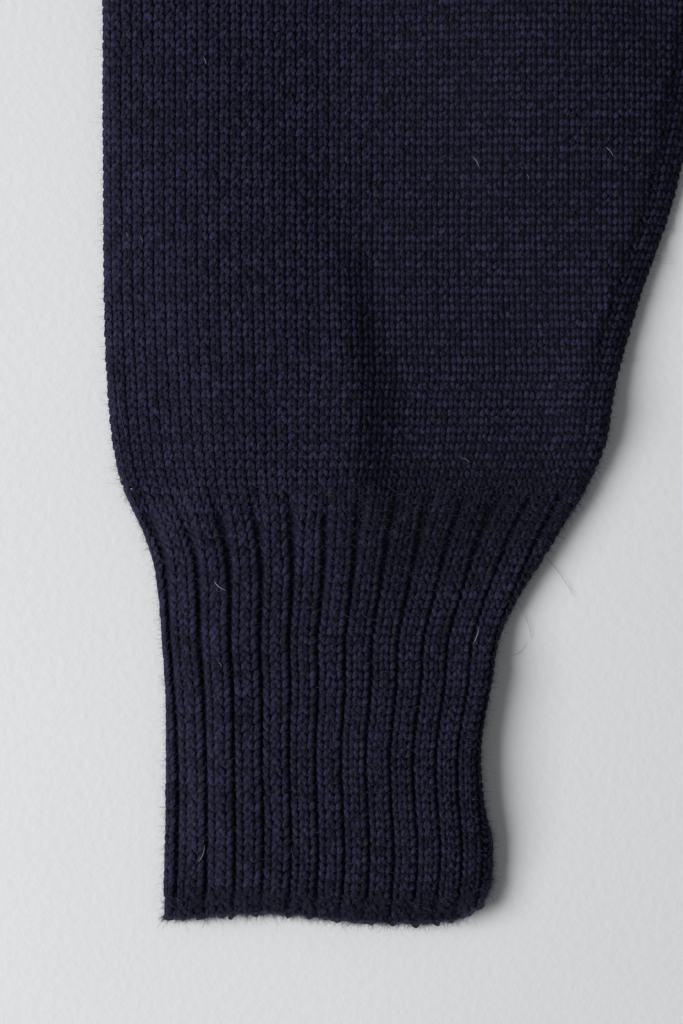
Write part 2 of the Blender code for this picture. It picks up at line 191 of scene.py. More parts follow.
BODY_FOLDS = [  # from x, from y, to x, to y, half width (mm), height; y is up from the lower edge
    (-226, 418, -120, 548, 30, 0.60),
    (-234, 382, -112, 446, 28, 0.56),
    (230, 414, 132, 560, 28, 0.58),
    (236, 384, 112, 424, 28, 0.54),
    (-168, 96, -112, 330, 44, 0.44),
    (176, 84, 120, 300, 48, 0.48),
    (-16, 262, 34, 452, 54, 0.36),
    (-70, 92, 44, 136, 40, 0.30),
]
UNEVEN = [  # slow waves in the cloth: length along x, along y (mm), phase, height (mm)
    (47, 71, 0.3, 0.16),
    (-63, 38, 1.9, 0.14),
    (29, -33, 4.1, 0.09),
    (-21, 26, 2.6, 0.07),
]

HEM_LINE = [  # across, up: how far the cast-on edge wanders from its straight line, in mm
    (0, -0.3),
    (7, -0.2),
    (16, 0.5),
    (32, 0.9),
    (45, -0.3),
    (53, -1.0),
    (78, -1.1),
    (86, 0.0),
]

HAIRS = [  # colour, then along and across where it starts, bends and ends, and its thickness, in mm
    ("pale", 235.7, 28.3, 234.9, 28.8, 234.0, 28.9, 0.12),
    ("pale", 211.5, 138.3, 210.6, 139.6, 209.3, 140.3, 0.13),
    ("pale", 209.0, 102.0, 207.9, 103.2, 206.3, 103.7, 0.14),
    ("pale", 204.3, 116.6, 203.6, 117.3, 202.9, 117.2, 0.10),
    ("pale", 187.0, 10.7, 186.4, 11.5, 185.4, 11.4, 0.12),
    ("pale", 188.4, 6.9, 187.7, 7.0, 187.0, 7.7, 0.09),
    ("blue", 144.7, 4.4, 138.3, 4.7, 131.5, 7.2, 0.10),
    ("blue", 127.3, 80.0, 127.2, 81.2, 126.5, 82.2, 0.09),
    ("pale", 126.5, 99.0, 126.2, 100.4, 125.1, 101.2, 0.10),
    ("blue", 121.0, 59.7, 119.0, 60.4, 117.7, 62.2, 0.10),
    ("blue", 108.1, 73.4, 107.3, 74.2, 106.5, 74.0, 0.10),
    ("blue", 102.9, 43.7, 101.2, 44.3, 100.1, 45.4, 0.11),
    ("blue", 101.2, 13.8, 99.9, 15.6, 97.9, 16.8, 0.09),
    ("pale", 92.7, 31.1, 90.9, 32.3, 90.2, 34.4, 0.22),
    ("pale", 80.0, 103.7, 77.4, 103.3, 75.4, 102.0, 0.15),
    ("pale", 70.7, 32.2, 70.1, 33.1, 69.2, 33.2, 0.10),
    ("blue", 53.6, 63.8, 49.6, 63.4, 45.9, 63.8, 0.09),
    ("pale", 20.4, 28.3, 18.4, 28.6, 15.7, 26.7, 0.14),
    ("blue", 20.4, 52.3, 18.6, 52.3, 16.8, 52.8, 0.10),
    ("dark", 99.5, 122.5, 94.0, 127.3, 88.0, 130.6, 0.10),
    ("dark", 83.5, 116.5, 80.0, 118.3, 76.2, 118.8, 0.09),
    ("dark", 71.8, 113.3, 72.4, 116.4, 75.6, 117.2, 0.08),
]

# Where the pieces lie
TOTAL_LENGTH = SHOULDER_TO_HEM + BAND_RISE
HEM_Y = -TOTAL_LENGTH / 2
WELT_Y = HEM_Y + WELT
NECK_Y = HEM_Y + SHOULDER_TO_HEM
SHOULDER_Y = NECK_Y - SHOULDER_FALL
UNDERARM_Y = SHOULDER_Y - ARMHOLE * math.sin(ARMHOLE_LEAN)
SHOULDER_HALF = CHEST_HALF + ARMHOLE * math.cos(ARMHOLE_LEAN)

# A stitch's leg, in shares of its wale and its row
LEG_FOOT = -0.02                    # from the wale's middle to the leg's foot
LEG_HEAD = 0.52                     # and to its head
LEG_START = -0.02                   # rows below the stitch's own row
LEG_RUN = 1.04                      # rows that a leg spans
LONGER = 0.13                       # how much longer a leg is where its cloth is eased, in rows
LEG_RADIUS = 0.305                  # wales
WALES_APART = 0.04                  # how far the legs draw apart there, in wales
ROWS_APART = 1.3                    # how much deeper their ends dive where it isn't eased
LEG_FLATNESS = 0.35                 # how high a leg stands, as a share of its width
LEG_DIVE = 1.20 * MM                # how far both ends go down into the cloth
PAINTED_SHADE = 2.8                        # how much darker the stitches are painted as shade where it is fullest, in their tint
CREST = 0.12 * MM                   # the crests stand this proud of the solid's face
FINE = (6, 4)                       # points along and round a leg that is seen from close by
MEDIUM = (5, 4)
COARSE = (4, 3)
FIBRE_POINTS = 3                    # along a short loose fibre

# How unevenly stitches are knitted, as the usual error
START_DRIFT = 0.05                  # of a stitch's start, in rows
LEG_DRIFT = 0.045                   # of its two legs' starts, apart from each other
LANE_DRIFT = 0.032                  # of its place across, in wales
PLUMP_DRIFT = 0.06                  # of its thickness, as a share
LIFT_DRIFT = 0.06 * MM              # of its height


def smooth(value):
    """0 below 0, 1 above 1, with a soft S between."""
    share = np.clip(value, 0.0, 1.0)
    return share * share * (3 - 2 * share)


def follow(table, index, along):
    """Read a table's column at any distance along, on a curve that keeps its rows' slopes."""
    places = np.array([row[0] for row in table], dtype=float) * MM
    values = np.array([row[index] for row in table], dtype=float)
    slopes = np.gradient(values, places)
    spot = np.clip(along, places[0], places[-1])
    row = np.clip(np.searchsorted(places, spot, side="right") - 1, 0, len(places) - 2)
    step = places[row + 1] - places[row]
    t = (spot - places[row]) / step
    start = values[row] * (1 + 2 * t) * (1 - t) ** 2 + slopes[row] * step * t * (1 - t) ** 2
    end = values[row + 1] * t * t * (3 - 2 * t) - slopes[row + 1] * step * t * t * (1 - t)
    return start + end


# --- Where the cloth lies ---------------------------------------------------------------------------

def bend_share(down):
    """1 at the shoulder and 0 where the sleeve runs straight, at a distance down the outer edge."""
    return np.clip(1 - down / (SLEEVE - STRAIGHT), 0.0, 1.0) ** BEND_POWER


def sleeve_edge():
    """The right sleeve's outer edge, as distances down from the shoulder and their X and Y."""
    down = np.linspace(0.0, SLEEVE, EDGE_STEPS + 1)
    lean = SLEEVE_LEAN + (SHOULDER_LEAN - SLEEVE_LEAN) * bend_share(down)
    step = down[1] - down[0]
    sideways = np.concatenate([[0.0], np.cumsum((np.sin(lean[1:]) + np.sin(lean[:-1])) / 2) * step])
    downwards = np.concatenate([[0.0], np.cumsum((np.cos(lean[1:]) + np.cos(lean[:-1])) / 2) * step])
    start_x = -SHOULDER_HALF - SEAM * math.sin(ARMHOLE_LEAN)
    start_y = SHOULDER_Y - SEAM * math.cos(ARMHOLE_LEAN)
    return down, start_x - sideways, start_y - downwards


EDGE = sleeve_edge()


def sleeve_place(along, across, side):
    """X and Y of a point on a sleeve, from its distance up from the cuff's end and across."""
    down = SLEEVE - np.asarray(along, dtype=float)
    turn = SLEEVE_LEAN + (ARMHOLE_LEAN - SLEEVE_LEAN) * bend_share(down)
    past = np.maximum(down - SLEEVE, 0.0)
    x = np.interp(down, EDGE[0], EDGE[1]) - past * math.sin(SLEEVE_LEAN) + across * np.cos(turn)
    y = np.interp(down, EDGE[0], EDGE[2]) - past * math.cos(SLEEVE_LEAN) - across * np.sin(turn)
    return (x if side == "right" else -x), y


def fold_lines():
    """Every fold as its two ends in X and Y, its half width and its height."""
    lines = []
    for side, along_a, across_a, along_b, across_b, half, height in SLEEVE_FOLDS:
        for name in (("right", "left") if side == "both" else (side,)):
            start = sleeve_place(along_a * MM, across_a * MM, name)
            end = sleeve_place(along_b * MM, across_b * MM, name)
            lines.append((start, end, half * MM, height))
    for x_a, y_a, x_b, y_b, half, height in BODY_FOLDS:
        start = (x_a * MM, HEM_Y + y_a * MM)
        end = (x_b * MM, HEM_Y + y_b * MM)
        lines.append((start, end, half * MM, height))
    return lines


FOLD_LINES = fold_lines()


def upper_height(x, y):
    """Height of the upper layer's outer face, with its folds and the cloth's slow waves."""
    raised = np.zeros(np.broadcast(x, y).shape)
    for (ax, ay), (bx, by), half, height in FOLD_LINES:
        length = (bx - ax) ** 2 + (by - ay) ** 2
        t = np.clip(((x - ax) * (bx - ax) + (y - ay) * (by - ay)) / length, 0.0, 1.0)
        away = np.hypot(x - ax - t * (bx - ax), y - ay - t * (by - ay)) / half
        raised = raised + height * np.clip(1 - away * away, 0.0, 1.0) ** 2
    waves = 0.0
    for length_x, length_y, phase, height in UNEVEN:
        waves = waves + height * MM * np.sin(x / (length_x * MM) * 2 + y / (length_y * MM) * 2 + phase)
    return STACK - SLACK + LIFT * smooth(raised) + waves


class Sleeve:
    """A flattened tube of one sleeve and its cuff.

    A place on it is `round`, from the middle of the outer fold over the upper layer, and `along`, up
    from the cuff's end."""

    def __init__(self, side, ribbed):
        self.side = side
        self.ribbed = ribbed
        self.mirrored = side == "left"

    def flat(self, along):
        """The width between the two folds."""
        return follow(SLEEVE_OUTLINE, 2, along) * MM - 2 * FOLD

    def reach(self, along):
        """The length over the upper layer, from the middle of one fold to the middle of the other."""
        return self.flat(along) + 2 * QUARTER

    def rib_edge(self, rib, along):
        """The place round of the boundary before a rib. Ribs run on past 0 and the last one."""
        first = follow(RIB_SPREAD, 1, along)
        wide = follow(RIB_SPREAD, 2, along)
        narrowing = (follow(RIB_SPREAD, 3, along) - wide) / (CUFF_RIBS - 1)
        share = first + rib * wide + narrowing * rib * (rib - 1) / 2
        return QUARTER + share * self.flat(along)

    def wale(self, rib, along):
        """The width of one knit wale of a rib."""
        width = self.rib_edge(rib + 1, along) - self.rib_edge(rib, along)
        widest = RIB_WALE - RIB_WALE_LESS * smooth((along - CUFF + RIB_NARROWS) / RIB_NARROWS)
        return np.minimum(RIB_WALE_SHARE * width, widest)

    def gaps(self, round, along):
        """1 at the bottom of the gaps between the ribs and 0 on the ribs, fading out above the cuff."""
        round, along = np.broadcast_arrays(round, along)
        deepest = np.zeros(round.shape)
        near = along < CUFF + GAP_FADE
        round, along = round[near], along[near]
        edge = self.rib_edge(-2, along)
        for rib in range(-1, CUFF_RIBS + 2):
            before, edge = edge, self.rib_edge(rib, along)
            half = (edge - before) / 2 - self.wale(rib - 1, along)
            open_share = 1 - smooth((np.abs(round - edge) - 0.3 * half) / (0.7 * half + 0.35 * MM))
            deepest[near] = np.maximum(deepest[near], open_share)
        down = CUFF - along
        deepest[near] *= smooth((down + GAP_FADE) / (9 * MM)) * (0.6 + 0.4 * smooth(down / (38 * MM)))
        # The gaps go deeper where the stitches get painted shade.
        deepest[near] *= 1 + 0.3 * self.shade_share(round, along)
        return deepest

    def sink(self, round, along):
        """How deep the outer face lies below the ribs, or below plain cloth."""
        gaps = RIB_DEPTH * self.gaps(round, along)
        if not self.ribbed:
            away = (round - self.reach(along) + EDGE_STRIP) / (1.7 * MM)
            return gaps + SEAM_DIP * np.exp(-away * away) * smooth((along - CUFF) / (38 * MM))
        hem = HEM_GROOVE * np.exp(-((along - HEM_GROOVE_AT) / HEM_GROOVE_REACH) ** 2)
        return gaps * (1 - 0.5 * smooth((HEM_LUMPS - along) / (4 * MM))) + hem

    def eased(self, round, along):
        """1 near the outer edge, where the wales stand apart, and 0 further in, where the rows do.

        A ribbed sleeve, the cuff, is eased by 0.5 more all over."""
        return 1 - smooth((round / self.reach(along) - 0.30) / 0.35) + (0.5 if self.ribbed else 0.0)

    def shade_share(self, round, along):
        """How much painted shade the stitches get: up to 1 where the cloth enters the cuff's inner side, and
        at the hem. The gaps between the ribs go deeper there too.
        """
        inward = smooth((round / self.reach(along) - SHADE_FROM) / 0.16)
        entry = inward * np.exp(-((along - SHADE_AT) / SHADE_REACH) ** 2)
        return entry + HEM_SHADE * smooth((11 * MM - along) / (5 * MM))

    def pressed(self, round, along):
        """The share of its full height that the cloth keeps, which is least at the inner edge."""
        inward = smooth(1 - (self.reach(along) - round) / PRESS_REACH)
        return 1 - EDGE_PRESS * inward * smooth((along - CUFF - 8 * MM) / (40 * MM))

    def face(self, round, along, below=0.0, sunk=True):
        """Points on the outer face, or a distance below it."""
        round, along = np.broadcast_arrays(round, along)
        inset = follow(SLEEVE_OUTLINE, 1, along) * MM
        flat = self.flat(along)
        outer_turn = round / FOLD
        inner_turn = (flat + 2 * QUARTER - round) / FOLD
        turn = np.clip(np.minimum(outer_turn, inner_turn), -math.pi / 2, math.pi / 2)
        share = np.clip((round - QUARTER) / flat, 0.0, 1.0)
        lower = round > flat + 3 * QUARTER
        share = np.where(lower, 1 - (round - flat - 3 * QUARTER) / flat, share)
        side = np.where(lower, 0.0, np.where(share < 0.5, -1.0, 1.0))
        across = FOLD + share * flat + side * np.cos(turn) * (FOLD - below)
        if self.ribbed:
            width = flat + 2 * FOLD
            out = np.clip((across / width - CORNER_FROM) / (1 - CORNER_FROM), 0.0, 1.0)
            rise = CORNER_CUT * (1 - np.sqrt(1 - out * out)) + follow(HEM_LINE, 1, across) * MM
            rise = rise + 0.22 * MM * np.sin(across / (1.15 * MM)) * np.sin(across / (4.7 * MM))
            along = along + rise * np.clip(1 - along / CORNER_FADE, 0.0, 1.0)
        x, y = sleeve_place(along, inset + across, self.side)
        level = (1 + np.sin(turn)) / 2
        upper = upper_height(x, y) * self.pressed(round, along)
        below = np.minimum(below, upper / 2 - 0.2 * MM)
        height = below + (upper - 2 * below) * level
        if sunk:
            height = height - self.sink(round, along) * smooth((level - 0.55) / 0.4)
        return np.stack([x, y, height], axis=-1)


class Flat:
    """A face that lies flat: a front or welt, where `round` is X and `along` is Y from the hem."""

    mirrored = False

    def __init__(self, ridged=False):
        self.ridged = ridged

    def eased(self, round, along):
        """Half eased all over."""
        return 0.5

    def shade_share(self, round, along):
        """No painted shade here."""
        return 0.0

    def face(self, round, along, below=0.0, sunk=True):
        x, y = np.broadcast_arrays(round, HEM_Y + along)
        height = upper_height(x, y) - below
        if self.ridged and sunk:
            height = height - RIDGE_DEPTH * (1 + np.cos(2 * math.pi * WELT_RIDGES * along / WELT)) / 2
        return np.stack([x, y, height], axis=-1)


def neck_edge(x, drop):
    """The Y of the neck edge of the front or back."""
    return NECK_Y - drop * (1 - (x / NECK_HALF) ** 2)


class Band:
    """The neckband's flattened ring. `round` runs across its front, and `along` up from the seam."""

    mirrored = False
    pitch = 2 * (NECK_HALF - FOLD) / BAND_RIBS

    def place(self, across, along, front):
        """X and Y at a distance from the neck's middle, along being a length up to about BAND_RISE."""
        up = along / BAND_RISE
        half = NECK_HALF + up * (BAND_TOP_HALF - NECK_HALF)
        spread = np.clip(across / NECK_HALF, -1.0, 1.0)
        low = neck_edge(spread * NECK_HALF, np.where(front, FRONT_NECK_DROP, BACK_NECK_DROP)) + BAND_SEAM
        dip = np.where(front, BAND_FRONT_DIP, BAND_BACK_DIP)
        high = NECK_Y + BAND_RISE - dip * (1 - spread ** 2)
        return spread * half, low + up * (high - low)

    def eased(self, round, along):
        """Half eased all over."""
        return 0.5

    def shade_share(self, round, along):
        """No painted shade here."""
        return 0.0

    def sink(self, across):
        """How deep the outer face lies below the ribs."""
        rib = (across + NECK_HALF - FOLD) / self.pitch
        away = np.abs(rib - np.round(rib)) * self.pitch
        return RIB_DEPTH * (1 - smooth((away - 0.5 * MM) / (1.5 * MM)))

    def face(self, round, along, below=0.0, sunk=True):
        round, along = np.broadcast_arrays(round, along)
        x, y = self.place(round, along, True)
        height = upper_height(x, y) - below - (self.sink(round) if sunk else 0.0)
        return np.stack([x, y, height], axis=-1)


# --- Meshes -----------------------------------------------------------------------------------------

def mesh_object(name, points, faces, materials):
    """A smooth mesh from an array of points and an array of four-cornered faces."""
    mesh = bpy.data.meshes.new(name)
    mesh.vertices.add(len(points))
    mesh.vertices.foreach_set("co", np.asarray(points, np.float32).ravel())
    mesh.loops.add(faces.size)
    mesh.loops.foreach_set("vertex_index", np.asarray(faces, np.int32).ravel())
    mesh.polygons.add(len(faces))
    mesh.polygons.foreach_set("loop_start", np.arange(0, faces.size, 4, dtype=np.int32))
    mesh.update(calc_edges=True)
    mesh.shade_smooth()
    for material in materials:
        mesh.materials.append(material)
    piece = bpy.data.objects.new(name, mesh)
    bpy.context.collection.objects.link(piece)
    return piece


def add_uv(mesh, name, corners):
    """A UV map from an array with one row for each face corner."""
    layer = mesh.uv_layers.new(name=name)
    layer.uv.foreach_set("vector", np.asarray(corners, np.float32).ravel())


def add_number(mesh, name, values):
    """A number for each point of a mesh, which its material can read."""
    attribute = mesh.attributes.new(name, "FLOAT", "POINT")
    attribute.data.foreach_set("value", np.asarray(values, np.float32).ravel())


def closed_wall(name, outer, inner, lay, around, under_shade):
    """Two equal grids of points joined into one wall, open at both ends if it runs around.

    lay holds the wale and row at each point, with one more column than the points if around."""
    rows, columns = outer.shape[:2]
    count = rows * columns
    last = columns if around else columns - 1
    r, c = np.meshgrid(np.arange(rows - 1), np.arange(last), indexing="ij")
    n = (c + 1) % columns

    def spots(r, c):
        return r * columns + c

    front = np.stack([spots(r, c), spots(r, n), spots(r + 1, n), spots(r + 1, c)], -1).reshape(-1, 4)
    back = front[:, ::-1] + count
    front_lay = np.stack([lay[r, c], lay[r, c + 1], lay[r + 1, c + 1], lay[r + 1, c]], 2).reshape(-1, 4, 2)
    back_lay = front_lay[:, ::-1]
    faces = [front, back]
    lays = [front_lay, back_lay]
    for row, forward in ((0, False), (rows - 1, True)):
        a = row * columns + np.arange(last)
        b = row * columns + (np.arange(last) + 1) % columns
        rim = np.stack([a, b, b + count, a + count] if forward else [b, a, a + count, b + count], -1)
        faces.append(rim)
        lays.append(np.repeat(lay[row, :last, None, :], 4, 1))
    if not around:
        for column, forward in ((0, True), (columns - 1, False)):
            a = np.arange(rows - 1) * columns + column
            b = a + columns
            rim = np.stack([a, b, b + count, a + count] if forward else [b, a, a + count, b + count], -1)
            faces.append(rim)
            lays.append(np.repeat(lay[:rows - 1, column, None, :], 4, 1))
    points = np.concatenate([outer.reshape(-1, 3), inner.reshape(-1, 3)])
    piece = mesh_object(name, points, np.concatenate(faces), [knitted_cloth()])
    add_uv(piece.data, "knit", np.concatenate(lays))
    # Painted shade: the outer face is darker where stitches lie over it.
    shade = np.concatenate([np.broadcast_to(under_shade, (rows, columns)).ravel(), np.zeros(count)])
    add_number(piece.data, "under_shade", shade)
    mesh = bmesh.new()
    mesh.from_mesh(piece.data)
    if mesh.calc_volume(signed=True) < 0:
        bmesh.ops.reverse_faces(mesh, faces=mesh.faces)
        mesh.to_mesh(piece.data)
    mesh.free()
    return piece


def unit(vectors):
    """The same directions, each with a length of 1."""
    return vectors / np.maximum(np.linalg.norm(vectors, axis=-1, keepdims=True), 1e-12)


def strands(name, centre, up, radius, turns, flatness, closed, material, tint):
    """Yarn or fibre along many lines at once: lines x stations x 3, as tubes, half tubes or ribbons."""
    lines, stations = centre.shape[:2]
    run = unit(np.gradient(centre, axis=1))
    side = unit(np.cross(run, up))
    up = np.cross(side, run)
    turns = np.asarray(turns)[:, None]
    ring = np.cos(turns) * side[:, :, None, :] + flatness * np.sin(turns) * up[:, :, None, :]
    points = centre[:, :, None, :] + radius[..., None, None] * ring
    around = len(turns)
    last = around if closed else around - 1
    s, a = np.meshgrid(np.arange(stations - 1), np.arange(last), indexing="ij")
    n = (a + 1) % around
    one = np.stack([s * around + a, (s + 1) * around + a, (s + 1) * around + n, s * around + n], -1)
    faces = (np.arange(lines)[:, None, None] * stations * around + one.reshape(1, -1, 4)).reshape(-1, 4)
    piece = mesh_object(name, points.reshape(-1, 3), faces, [material])

    # Each line has its own cell of the map
    cells = math.ceil(math.sqrt(lines))
    u = np.stack([a, a, a + 1, a + 1], -1).reshape(-1, 4) / last
    v = np.stack([s, s + 1, s + 1, s], -1).reshape(-1, 4) / (stations - 1)
    corner = np.stack([u, v], -1)
    add_uv(piece.data, "strand", np.broadcast_to(corner, (lines,) + corner.shape))
    origin = np.stack([np.arange(lines) % cells, np.arange(lines) // cells], -1)
    add_uv(piece.data, "OFBake", (origin[:, None, None, :] + 0.06 + 0.88 * corner) / cells)
    add_number(piece.data, "tint", np.repeat(tint, stations * around))
    return piece


def lay_on(cloth, round, along, lift):
    """Points above a knitted face, and the directions straight out of it there, whatever its ribs do."""
    step = 0.5 * MM
    here = cloth.face(round, along)
    plain = cloth.face(round, along, sunk=False)
    across = cloth.face(round + step, along, sunk=False) - plain
    upwards = cloth.face(round, along + step, sunk=False) - plain
    out = unit(np.cross(across, upwards)) * (-1.0 if cloth.mirrored else 1.0)
    return here + out * lift[..., None], out


# Degrees round a half tube, for each number of points that it may have
HALF_TUBE = {3: (-15, 90, 195), 4: (-20, 50, 130, 200), 5: (-25, 32, 90, 148, 205)}


def knit_stitches(name, cloth, lane, wale, start, row, detail, seed):
    """Both legs of many knit stitches. lane and wale give each one's middle and width along it."""
    chance = np.random.default_rng(seed)
    count = len(start)
    stations, around = detail
    t = np.linspace(0.0, 1.0, stations)
    shake = chance.normal(0.0, 1.0, (count, 1, 6))
    side = np.array([-1.0, 1.0])[None, :, None]
    drift = START_DRIFT * shake[..., 0:1]
    apart = LEG_DRIFT * side * shake[..., 1:2]
    begin = start[:, None, None] + row * (LEG_START + drift + apart)
    eased = cloth.eased(lane(begin), begin)
    along = begin + row * ((LEG_RUN + LONGER * eased) * t - LONGER * eased / 2)
    width = wale(along)
    spread = LEG_FOOT + (LEG_HEAD - LEG_FOOT) * t ** 0.85 + WALES_APART * eased
    round = lane(along) + width * (side * spread + LANE_DRIFT * shake[..., 2:3])
    plump = (0.42 + 0.58 * np.sin(math.pi * (0.05 + 0.90 * t))) * (1 + PLUMP_DRIFT * shake[..., 3:4])
    radius = LEG_RADIUS * width * plump * (0.98 - 0.04 * eased)
    dive = LEG_DIVE * np.abs(2 * t - 1) ** 2.4 * (1 + ROWS_APART * (1 - eased))
    shape = (count * 2, stations)
    centre, up = lay_on(cloth, round.reshape(shape), along.reshape(shape), np.zeros(shape))
    upright = np.clip(up[..., 2], 0.0, 1.0).reshape(count, 2, stations)
    dive = dive * (0.35 + 0.65 * upright)
    lift = CREST - LEG_FLATNESS * radius - dive + LIFT_DRIFT * shake[..., 4:5]
    centre = centre + up * lift.reshape(shape)[..., None]
    turns = np.radians(HALF_TUBE[around])
    tint = 0.65 * np.repeat(shake[:, 0, 5], 2) + 0.75 * chance.normal(0.0, 1.0, count * 2)
    shade_share = np.broadcast_to(cloth.shade_share(round, along), (count, 2, stations))
    # Painted shade: the stitches are darker where the cloth enters the cuff's inner side, and at the hem.
    tint = tint - PAINTED_SHADE * shade_share.mean(axis=-1).ravel()
    return strands(name, centre, up, radius.reshape(shape), turns, LEG_FLATNESS, False, wool_yarn(), tint)


def short_rolls(name, cloth, middle, along, half, rise, radius, lift, detail, seed, tint=0.0,
                flatness=LEG_FLATNESS):
    """Short rolls of yarn that lie mostly across: purl bumps, garter bumps and the cast-on edge."""
    chance = np.random.default_rng(seed)
    count = len(middle)
    stations, around = detail
    t = np.linspace(-1.0, 1.0, stations)
    shake = chance.normal(0.0, 1.0, (count, 4))
    half = half * (1 + 0.08 * shake[:, 0])
    round = middle[:, None] + half[:, None] * t
    along = along[:, None] + rise[:, None] * t + (0.10 * MM * shake[:, 1])[:, None]
    thick = radius * (0.6 + 0.4 * np.cos(t * math.pi / 2)) * (1 + 0.07 * shake[:, 2:3])
    height = lift - 0.75 * radius * np.abs(t) ** 2.2
    centre, up = lay_on(cloth, round, along, np.broadcast_to(height, round.shape))
    turns = np.radians(HALF_TUBE[around])
    return strands(name, centre, up, thick, turns, flatness, False, wool_yarn(), tint + shake[:, 3])


# --- Finishes ---------------------------------------------------------------------------------------

class Number:
    """A socket that holds a number, with the operators that shader maths needs."""

    def __init__(self, paint, socket):
        self.paint = paint
        self.socket = socket

    def maths(self, operation, *values):
        return self.paint.node("ShaderNodeMath", {"operation": operation}, dict(enumerate(values)))

    def __add__(self, other):
        return self.maths("ADD", self, other)

    __radd__ = __add__

    def __sub__(self, other):
        return self.maths("SUBTRACT", self, other)

    def __rsub__(self, other):
        return self.maths("SUBTRACT", other, self)

    def __mul__(self, other):
        return self.maths("MULTIPLY", self, other)

    __rmul__ = __mul__

    def __truediv__(self, other):
        return self.maths("DIVIDE", self, other)

    def __abs__(self):
        return self.maths("ABSOLUTE", self)

    def root(self):
        return self.maths("SQRT", self)

    def wave(self):
        return self.maths("SINE", self)

    def part(self):
        """What is left over after whole numbers."""
        return self.maths("FRACT", self)

    def at_least(self, least):
        return self.maths("MAXIMUM", self, least)

    def at_most(self, most):
        return self.maths("MINIMUM", self, most)


class Paint:
    """A new material and its nodes."""

    def __init__(self, name):
        self.material = bpy.data.materials.new(name)
        self.material.use_nodes = True
        self.tree = self.material.node_tree
        self.shader = self.tree.nodes["Principled BSDF"]

    def feed(self, socket, value):
        if isinstance(value, Number):
            self.tree.links.new(value.socket, socket)
        else:
            socket.default_value = value

    def node(self, kind, settings, values, output=0):
        """A new node with its settings, then its sockets' values or links, and one of its outputs."""
        made = self.tree.nodes.new(kind)
        for name, value in settings.items():
            setattr(made, name, value)
        for name, value in values.items():
            self.feed(made.inputs[name], value)
        return Number(self, made.outputs[output])

    def mix(self, share, first, second):
        """A colour between two colours."""
        settings = {"data_type": "RGBA"}
        return self.node("ShaderNodeMix", settings, {0: share, 6: first, 7: second}, output=2)

    def noise(self, scale, detail=2.0):
        place = self.node("ShaderNodeTexCoord", {}, {}, output="Object")
        return self.node("ShaderNodeTexNoise", {}, {"Vector": place, "Scale": scale, "Detail": detail})

    def bump(self, height, distance, strength):
        values = {"Height": height, "Distance": distance, "Strength": strength}
        return self.node("ShaderNodeBump", {}, values)

    def finish(self, color, roughness, normal=None):
        self.feed(self.shader.inputs["Base Color"], color)
        self.feed(self.shader.inputs["Roughness"], roughness)
        if normal is not None:
            self.feed(self.shader.inputs["Normal"], normal)
        return self.material


def wool_shine(paint):
    """Wool's soft, dull surface: the same all over."""
    paint.shader.inputs["Specular IOR Level"].default_value = 0.12
    paint.shader.inputs["Sheen Weight"].default_value = 0.09
    paint.shader.inputs["Sheen Roughness"].default_value = 0.55
    paint.shader.inputs["Sheen Tint"].default_value = (0.30, 0.31, 0.62, 1.0)


def scaled(color, share):
    """A colour, darker or lighter by a share."""
    return (color[0] * share, color[1] * share, color[2] * share, 1.0)


def heather(paint, share):
    """The yarn's navy, darker or lighter by a share, spun of fibres whose colours differ a little."""
    red, green, blue = bpy.context.scene.guernsey.yarn_color
    violet = (red * 1.03, green * 0.94, blue * 1.14, 1.0)
    teal = (red * 0.82, green * 1.06, blue * 0.98, 1.0)
    grey = (red * 1.18, green * 1.12, blue * 0.88, 1.0)
    patches = ((paint.noise(330.0, detail=1.0) - 0.5) * 2.4 + 0.5).at_least(0.0).at_most(1.0)
    flecks = ((paint.noise(950.0, detail=1.0) - 0.55) * 4.0 + 0.5).at_least(0.0).at_most(1.0)
    hue = paint.mix(flecks, paint.mix(patches, teal, violet), grey)
    depth = paint.node("ShaderNodeCombineColor", {}, {"Red": share, "Green": share, "Blue": share})
    return paint.node("ShaderNodeMix", {"data_type": "RGBA", "blend_type": "MULTIPLY"},
                      {0: 1.0, 6: hue, 7: depth}, output=2)


def wool_yarn():
    """The stitches' yarn: each stitch has its own tint, which also carries painted shade, and fine twisted
    fibres.
    """
    if "wool_yarn" in bpy.data.materials:
        return bpy.data.materials["wool_yarn"]
    paint = Paint("wool_yarn")
    tint = paint.node("ShaderNodeAttribute", {"attribute_name": "tint"}, {}, output="Fac")
    cell = paint.node("ShaderNodeUVMap", {"uv_map": "strand"}, {})
    u = paint.node("ShaderNodeSeparateXYZ", {}, {"Vector": cell}, output="X")
    v = paint.node("ShaderNodeSeparateXYZ", {}, {"Vector": cell}, output="Y")
    twist = (v * 16.0 + u * 8.0).wave()
    fibres = paint.noise(1050.0, detail=1.5)
    ends = abs(v - 0.5) * 2.0
    ends = ends * ends * ends
    # Painted shade: the legs' ends, where they go down into the cloth, are darker, and the twist adds faint
    # painted shade along the ply.
    share = 1.12 + tint * 0.25 + (fibres - 0.5) * 4.2 + twist * 0.10 - ends * 0.60
    normal = paint.bump(fibres + twist * 0.20, 0.36 * MM, 0.8)
    wool_shine(paint)
    return paint.finish(heather(paint, share.at_least(0.32)), 0.88, normal)


